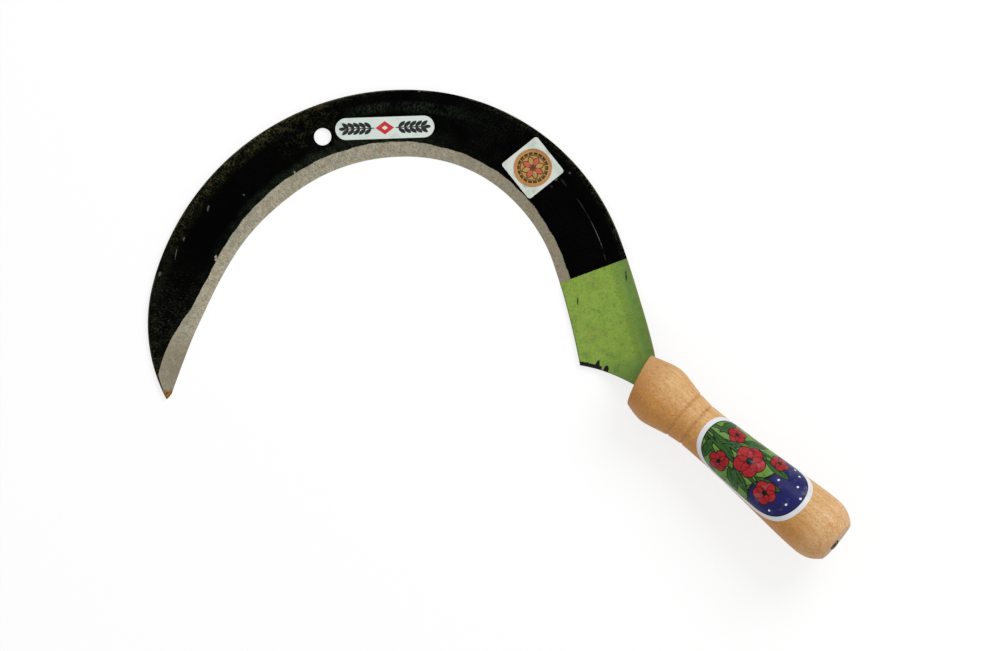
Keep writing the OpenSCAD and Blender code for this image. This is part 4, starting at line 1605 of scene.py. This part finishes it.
@dataclass(frozen=True)
class BareForging:
    """The tang's riveted end: forge-black steel, hammered and a little rusty, without any paint."""

    scale: str = "#4a4238"
    worn: str = "#877d6c"
    rust: str = "#5d4226"

    def build(self) -> bpy.types.Material:
        """Build the graph: scale, bright dents and a haze of rust."""
        material, tree = new_material("bare_forged_steel")
        block = Grain(millimetres(tree))
        dents, haze = block.at(1.3, 14.0, 2.0), block.at(2.4, 19.0, 3.0)
        colour = layers(tree, self.scale, (self.worn, dents.ramp(0.5, 0.68, 0.0, 0.8)),
                        (self.rust, haze.ramp(0.48, 0.66, 0.0, 0.8)))
        return close_graph(material, dents, 0.6, 0.2, {
            "Base Color": colour, "Metallic": 0.6, "Roughness": dents.ramp(0.3, 0.7, 0.6, 0.45)})


@dataclass(frozen=True)
class TurnedBeech:
    """Steamed beech, turned, sanded and thinly varnished.

    The wood is even and tan. Painted light and shade make it paler on the lamp's side, towards the
    back of the blade, orange-brown on the other side and darker towards the front. Short dark ray
    flecks lie thickly along the grain, growth rings hardly show, and the cut ends and the burnt ring
    grooves are darker.
    """

    pale: str = "#d9af76"
    straw: str = "#e6bf90"
    deep: str = "#c4863b"
    fleck_and_shade: str = "#9a6128"
    shine: str = "#f2d4a8"
    groove: str = "#a06a35"
    resin: str = "#b8963a"
    fleck_mm: Triple = (2.5, 0.6, 0.6)
    flecks: tuple[tuple[str, float, float], ...] = (
        (fleck_and_shade, 1.0, 0.75), (fleck_and_shade, 67.0, 0.4), (shine, 41.0, 0.25))
    ring_mm: float = 3.1
    spot: Mark = Mark(16.6, 4.4, 1.7, 3.8, 15.0)

    def build(self, handle: Handle) -> bpy.types.Material:
        """Build the graph on coordinates that start at the handle's front and follow its centre line.

        Args:
            handle: the piece whose grain this is.

        Returns:
            The finish.
        """
        material, tree = new_material("turned_varnished_beech")
        blade = handle.blade
        start = (-blade.origin[0], -blade.origin[1], blade.axis_z)
        local = add(tree, "Mapping", {"Vector": millimetres(tree), "Location": start,
                                      "Rotation": (0.0, -math.radians(blade.rise), 0.0)},
                    vector_type="TEXTURE")
        x_of, y_of, z_of = (add(tree, "SeparateXYZ", {0: local}, out=axis) for axis in "XYZ")
        wood = Grain(local)
        streak = wood.at((60.0, 3.0, 3.0), 4.0, 4.0, 0.6)
        hair = wood.at((7.0, 0.4, 0.4), 9.0)
        mottle = wood.at((4.5, 1.8, 1.8), 13.0, 3.0, 0.7)
        # Painted light and shade: paler on the lamp's side, towards the back of the blade, and orange-brown
        # on the other side
        side = x_of * 0.03 + (mottle * 14.0 + y_of)
        # Rings stand one growth layer apart round a pith outside the turned blank
        pith = add(tree, "Mapping", {"Vector": local, "Location": (0.0, -34.0, 26.0),
                                     "Scale": (0.05, 1.0, 1.0)})
        rings = add(tree, "TexWave", {"Vector": pith, "Scale": 0.314 / self.ring_mm, "Distortion": 2.6,
                                      "Detail": 2.0, "Detail Scale": 0.05},
                    wave_type="RINGS", rings_direction="X")
        # The first coat is painted shade on the side away from the lamp
        coats = [(self.deep, side.ramp(17.5, -4.0)), (self.straw, x_of.ramp(119.0, 133.0, 0.0, 0.55)),
                 # Painted shade: the wood darkens over its first 18 mm towards the front
                 (self.fleck_and_shade, x_of.ramp(18.0, 0.0, 0.0, 0.42)),
                 (self.deep, streak.ramp(0.46, 0.72, 0.0, 0.5)),
                 (self.deep, mottle.ramp(0.5, 0.72, 0.0, 0.6)), (self.deep, rings.ramp(0.6, 1.0, 0.0, 0.3))]
        for shade, seed, share in self.flecks:
            cells = add(tree, "Mapping", {"Vector": local, "Location": (seed,) * 3,
                                          "Scale": tuple(1.0 / s for s in self.fleck_mm)})
            cell = add(tree, "TexVoronoi", {"Vector": cells, "Scale": 1.0, "Randomness": 1.0}, feature="F1")
            coats.append((shade, cell.ramp(0.44, 0.2) * hair.ramp(0.36, 0.58) * share))
        for at in handle.grooves:
            off = (x_of - (mottle * 0.7 + (at - 0.35))).math("ABSOLUTE")
            coats.append((self.groove, off.ramp(1.4, 0.0) * mottle.ramp(0.35, 0.65, 0.15, 0.7)))
        # Sawn ends soak up varnish, and one spot of resin has turned yellow
        ends = x_of.ramp(handle.length - 0.5, handle.length - 0.1) | (y_of * blade.cut + x_of).ramp(0.5, 0.1)
        spot = self.spot.mask(x_of, y_of, mottle) * z_of.ramp(0.0, 1.0)
        coats += [(self.fleck_and_shade, ends * mottle.ramp(0.3, 0.7, 0.1, 0.4)), (self.resin, spot * 0.6)]
        return close_graph(material, hair, 0.3, 0.08, {
            "Base Color": layers(tree, self.pale, *coats), "Roughness": streak.ramp(0.3, 0.7, 0.46, 0.58),
            "Specular IOR Level": 0.35, "Coat Weight": 0.08, "Coat Roughness": 0.35})


@dataclass(frozen=True)
class Printed:
    """A sheet and what is printed on it, each ink laid where its signed distance is negative.

    The sheet is smooth polyester or foil under clear lacquer, with a little handling dirt that gathers
    in clouds and grains.
    """

    name: str
    sheet: str
    dirt: str
    inks: tuple[tuple[str, str, float], ...] = ()
    inside: str = ""
    metallic: float = 0.0
    roughness: Pair = (0.34, 0.46)
    dirt_share: float = 0.6
    brushed: float = 0.0
    gloss: float = 0.35

    def build(self) -> bpy.types.Material:
        """Build the graph: the sheet, its dirt, then the inks from the first to the last.

        An ink is a field's name, a colour and how far it grows past the drawn outline. Brushed inks
        are darker in small strokes, as in a painted original.
        """
        material, tree = new_material(self.name)
        block = Grain(millimetres(tree))
        cloud, grit = block.at(6.0, 7.0, 4.0, 0.6), block.at(0.7, 2.0)
        strokes = block.at((2.4, 0.9, 0.9), 12.0, 3.0, 0.6).ramp(0.5, 0.74, 0.0, self.brushed)
        dirty = cloud.ramp(0.5, 0.75) * grit.ramp(0.3, 0.6, 0.4, 1.0) * self.dirt_share
        coats = [(self.dirt, dirty)]
        framed = named(tree, self.inside).ramp(-0.5, -0.62) if self.inside else 1.0
        for drawn, shade, grown in self.inks:
            mask = named(tree, drawn).ramp(grown + 0.08, grown - 0.08)
            worn = layers(tree, shade, (self.dirt, cloud.ramp(0.56, 0.8, 0.0, 0.25)), (INK, strokes))
            coats.append((worn, mask if drawn == self.inside else mask * framed))
        return close_graph(material, grit, 0.15, 0.05, {
            "Base Color": layers(tree, self.sheet, *coats), "Metallic": self.metallic,
            "Roughness": grit.ramp(0.3, 0.7, *self.roughness), "Specular IOR Level": self.gloss})


INK = "#0e1112"
WHITE_LABEL = Printed("printed_label_film", "#dae4dd", "#a4b0a6",
                      (("ink", "#141617", 0.0), ("red", "#c8282c", 0.0)))
PLAIN_LABEL = Printed("plain_label_film", "#d5ddd3", "#9aa69c", dirt_share=0.9)
GOLD_SEAL = Printed("embossed_gold_foil", "#bf9350", "#8f6a34",
                    (("rim", "#c18552", 0.0), ("ink", "#4a3418", 0.0), ("blush", "#c9604c", -0.2),
                     ("red", "#6b2d1c", 0.0)),
                    metallic=0.3, roughness=(0.42, 0.55), brushed=0.35)
POPPY_TRANSFER = Printed("printed_transfer", "#dfe1e4", "#b9bcc0",
                         (("field", INK, 0.0), ("field", "#648f37", -0.6), ("sky", "#0d0f10", 1.6),
                          ("sky", "#1e1e60", 0.0), ("grass", "#1c2a14", 0.0), ("leaves", INK, 0.5),
                          ("leaves", "#2f5a22", 0.0), ("veins", "#0f160d", 0.0), ("petals", INK, 0.5),
                          ("petals", "#a82026", 0.0), ("folds", "#4a0f13", 0.0), ("hearts", INK, 0.0),
                          ("stars", "#dfe2ea", 0.0)),
                         inside="field", roughness=(0.28, 0.36), dirt_share=0.4, brushed=0.85, gloss=0.18)


# Studio


@dataclass
class Studio:
    """Camera straight above the tool, a white floor, a soft lamp from the back's side and a pale room."""

    centre: Pair = (-22.36, 26.29)
    turn: float = 39.9
    view_width: float = 549.5
    lens: float = 600.0
    sensor: float = 36.0
    room: float = 0.62
    key_watts: float = 9.0
    key_size: float = 0.7
    key_place: Triple = (0.12, 1.05, 1.0)
    floor_half: float = 3.0
    floor_shade: float = 0.8
    faint_shade: float = 0.3
    floor_glow: float = 0.74

    def camera(self) -> None:
        """Set the camera so that the photograph's width spans view_width at the blade's level."""
        data = bpy.data.cameras.new("camera")
        data.lens = self.lens
        data.sensor_width = self.sensor
        data.clip_end = 100.0
        made = new_object("camera", data)
        height = self.view_width * MM * self.lens / self.sensor
        made.location = (self.centre[0] * MM, self.centre[1] * MM, height)
        made.rotation_euler = (0.0, 0.0, math.radians(self.turn))
        bpy.context.scene.camera = made

    def lamp(self) -> None:
        """Add a square area lamp that looks at the middle of the tool."""
        data = bpy.data.lights.new("key_lamp", "AREA")
        data.size = self.key_size
        data.energy = self.key_watts
        made = new_object("key_lamp", data)
        aim = np.array([0.0, 0.02, 0.0]) - np.array(self.key_place)
        made.location = self.key_place
        made.rotation_euler = (
            math.acos(-aim[2] / np.linalg.norm(aim)), 0.0, math.atan2(aim[1], aim[0]) - math.pi / 2)

    def floor(self) -> None:
        """Lay a floor that looks white to the camera, to gloss and through glass, with soft shadows."""
        mesh = bpy.data.meshes.new("floor")
        half = self.floor_half
        corners = [(-half, -half, 0.0), (half, -half, 0.0), (half, half, 0.0), (-half, half, 0.0)]
        mesh.from_pydata(corners, [], [(0, 1, 2, 3)])
        made = new_object("floor", mesh)
        material, tree = new_material("white_paper_floor")
        seen = reduce(Value.__or__, [add(tree, "LightPath", out=f"Is {ray} Ray")
                                     for ray in ("Camera", "Glossy", "Transmission")])
        plain, faint = (add(tree, "BsdfDiffuse", {"Color": (shade, shade, shade, 1.0)})
                        for shade in (self.floor_shade, self.faint_shade))
        glow = add(tree, "Emission", {"Color": (1.0, 1.0, 1.0, 1.0), "Strength": self.floor_glow})
        bright = add(tree, "AddShader", {0: faint, 1: glow})
        add(tree, "OutputMaterial", {"Surface": add(tree, "MixShader", {0: seen, 1: plain, 2: bright})})
        mesh.materials.append(material)

    def build(self) -> None:
        """Set the view, the room's light, the lamp and the floor."""
        scene = bpy.context.scene
        scene.view_settings.view_transform = "Standard"
        world = bpy.data.worlds.new("room")
        world.use_nodes = True
        tree = world.node_tree
        tree.nodes.clear()
        seen = add(tree, "LightPath", out="Is Camera Ray")
        soft, white = (add(tree, "Background", {"Color": (1.0, 1.0, 1.0, 1.0), "Strength": strength})
                       for strength in (self.room, 1.0))
        add(tree, "OutputWorld", {"Surface": add(tree, "MixShader", {0: seen, 1: soft, 2: white})})
        scene.world = world
        self.camera()
        self.lamp()
        self.floor()


def main() -> None:
    """Build the sickle's sub-assemblies in order, dress them and set up the studio."""
    logging.basicConfig(level=logging.INFO, format="%(name)s: %(message)s")
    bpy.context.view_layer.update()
    blade = Blade()
    handle = Handle(blade)
    blade.build_forging().data.materials.append(PaintedSteel().build(blade.line.length))
    blade.build_tang().data.materials.append(BareForging().build())
    handle.build().data.materials.append(TurnedBeech().build(handle))
    # Each label's length, width and corner, its places along and from the back, and its turn in degrees
    long_label = LongLabel("long_label_film", "long_label", blade, 54.5, 12.0, 6.0,
                           blade.hole_at - 39.8, 20.5, -3.2)
    square_label = BladeLabel("square_label_film", "square_label", blade, 24.8, 24.8, 1.6,
                              127.6, 17.7, -11.2)
    seal = Seal("seal_foil", "seal", blade, 21.0, 21.0, 10.5, 127.6, 17.7, -11.2, slot=Slot.FOIL, low=0.25)
    for sheet, printed in ((long_label, WHITE_LABEL), (square_label, PLAIN_LABEL), (seal, GOLD_SEAL),
                           (Transfer(handle), POPPY_TRANSFER)):
        sheet.build().data.materials.append(printed.build())
    Studio().build()
    LOG.info("all pieces are in place")


if __name__ == "__main__":
    main()
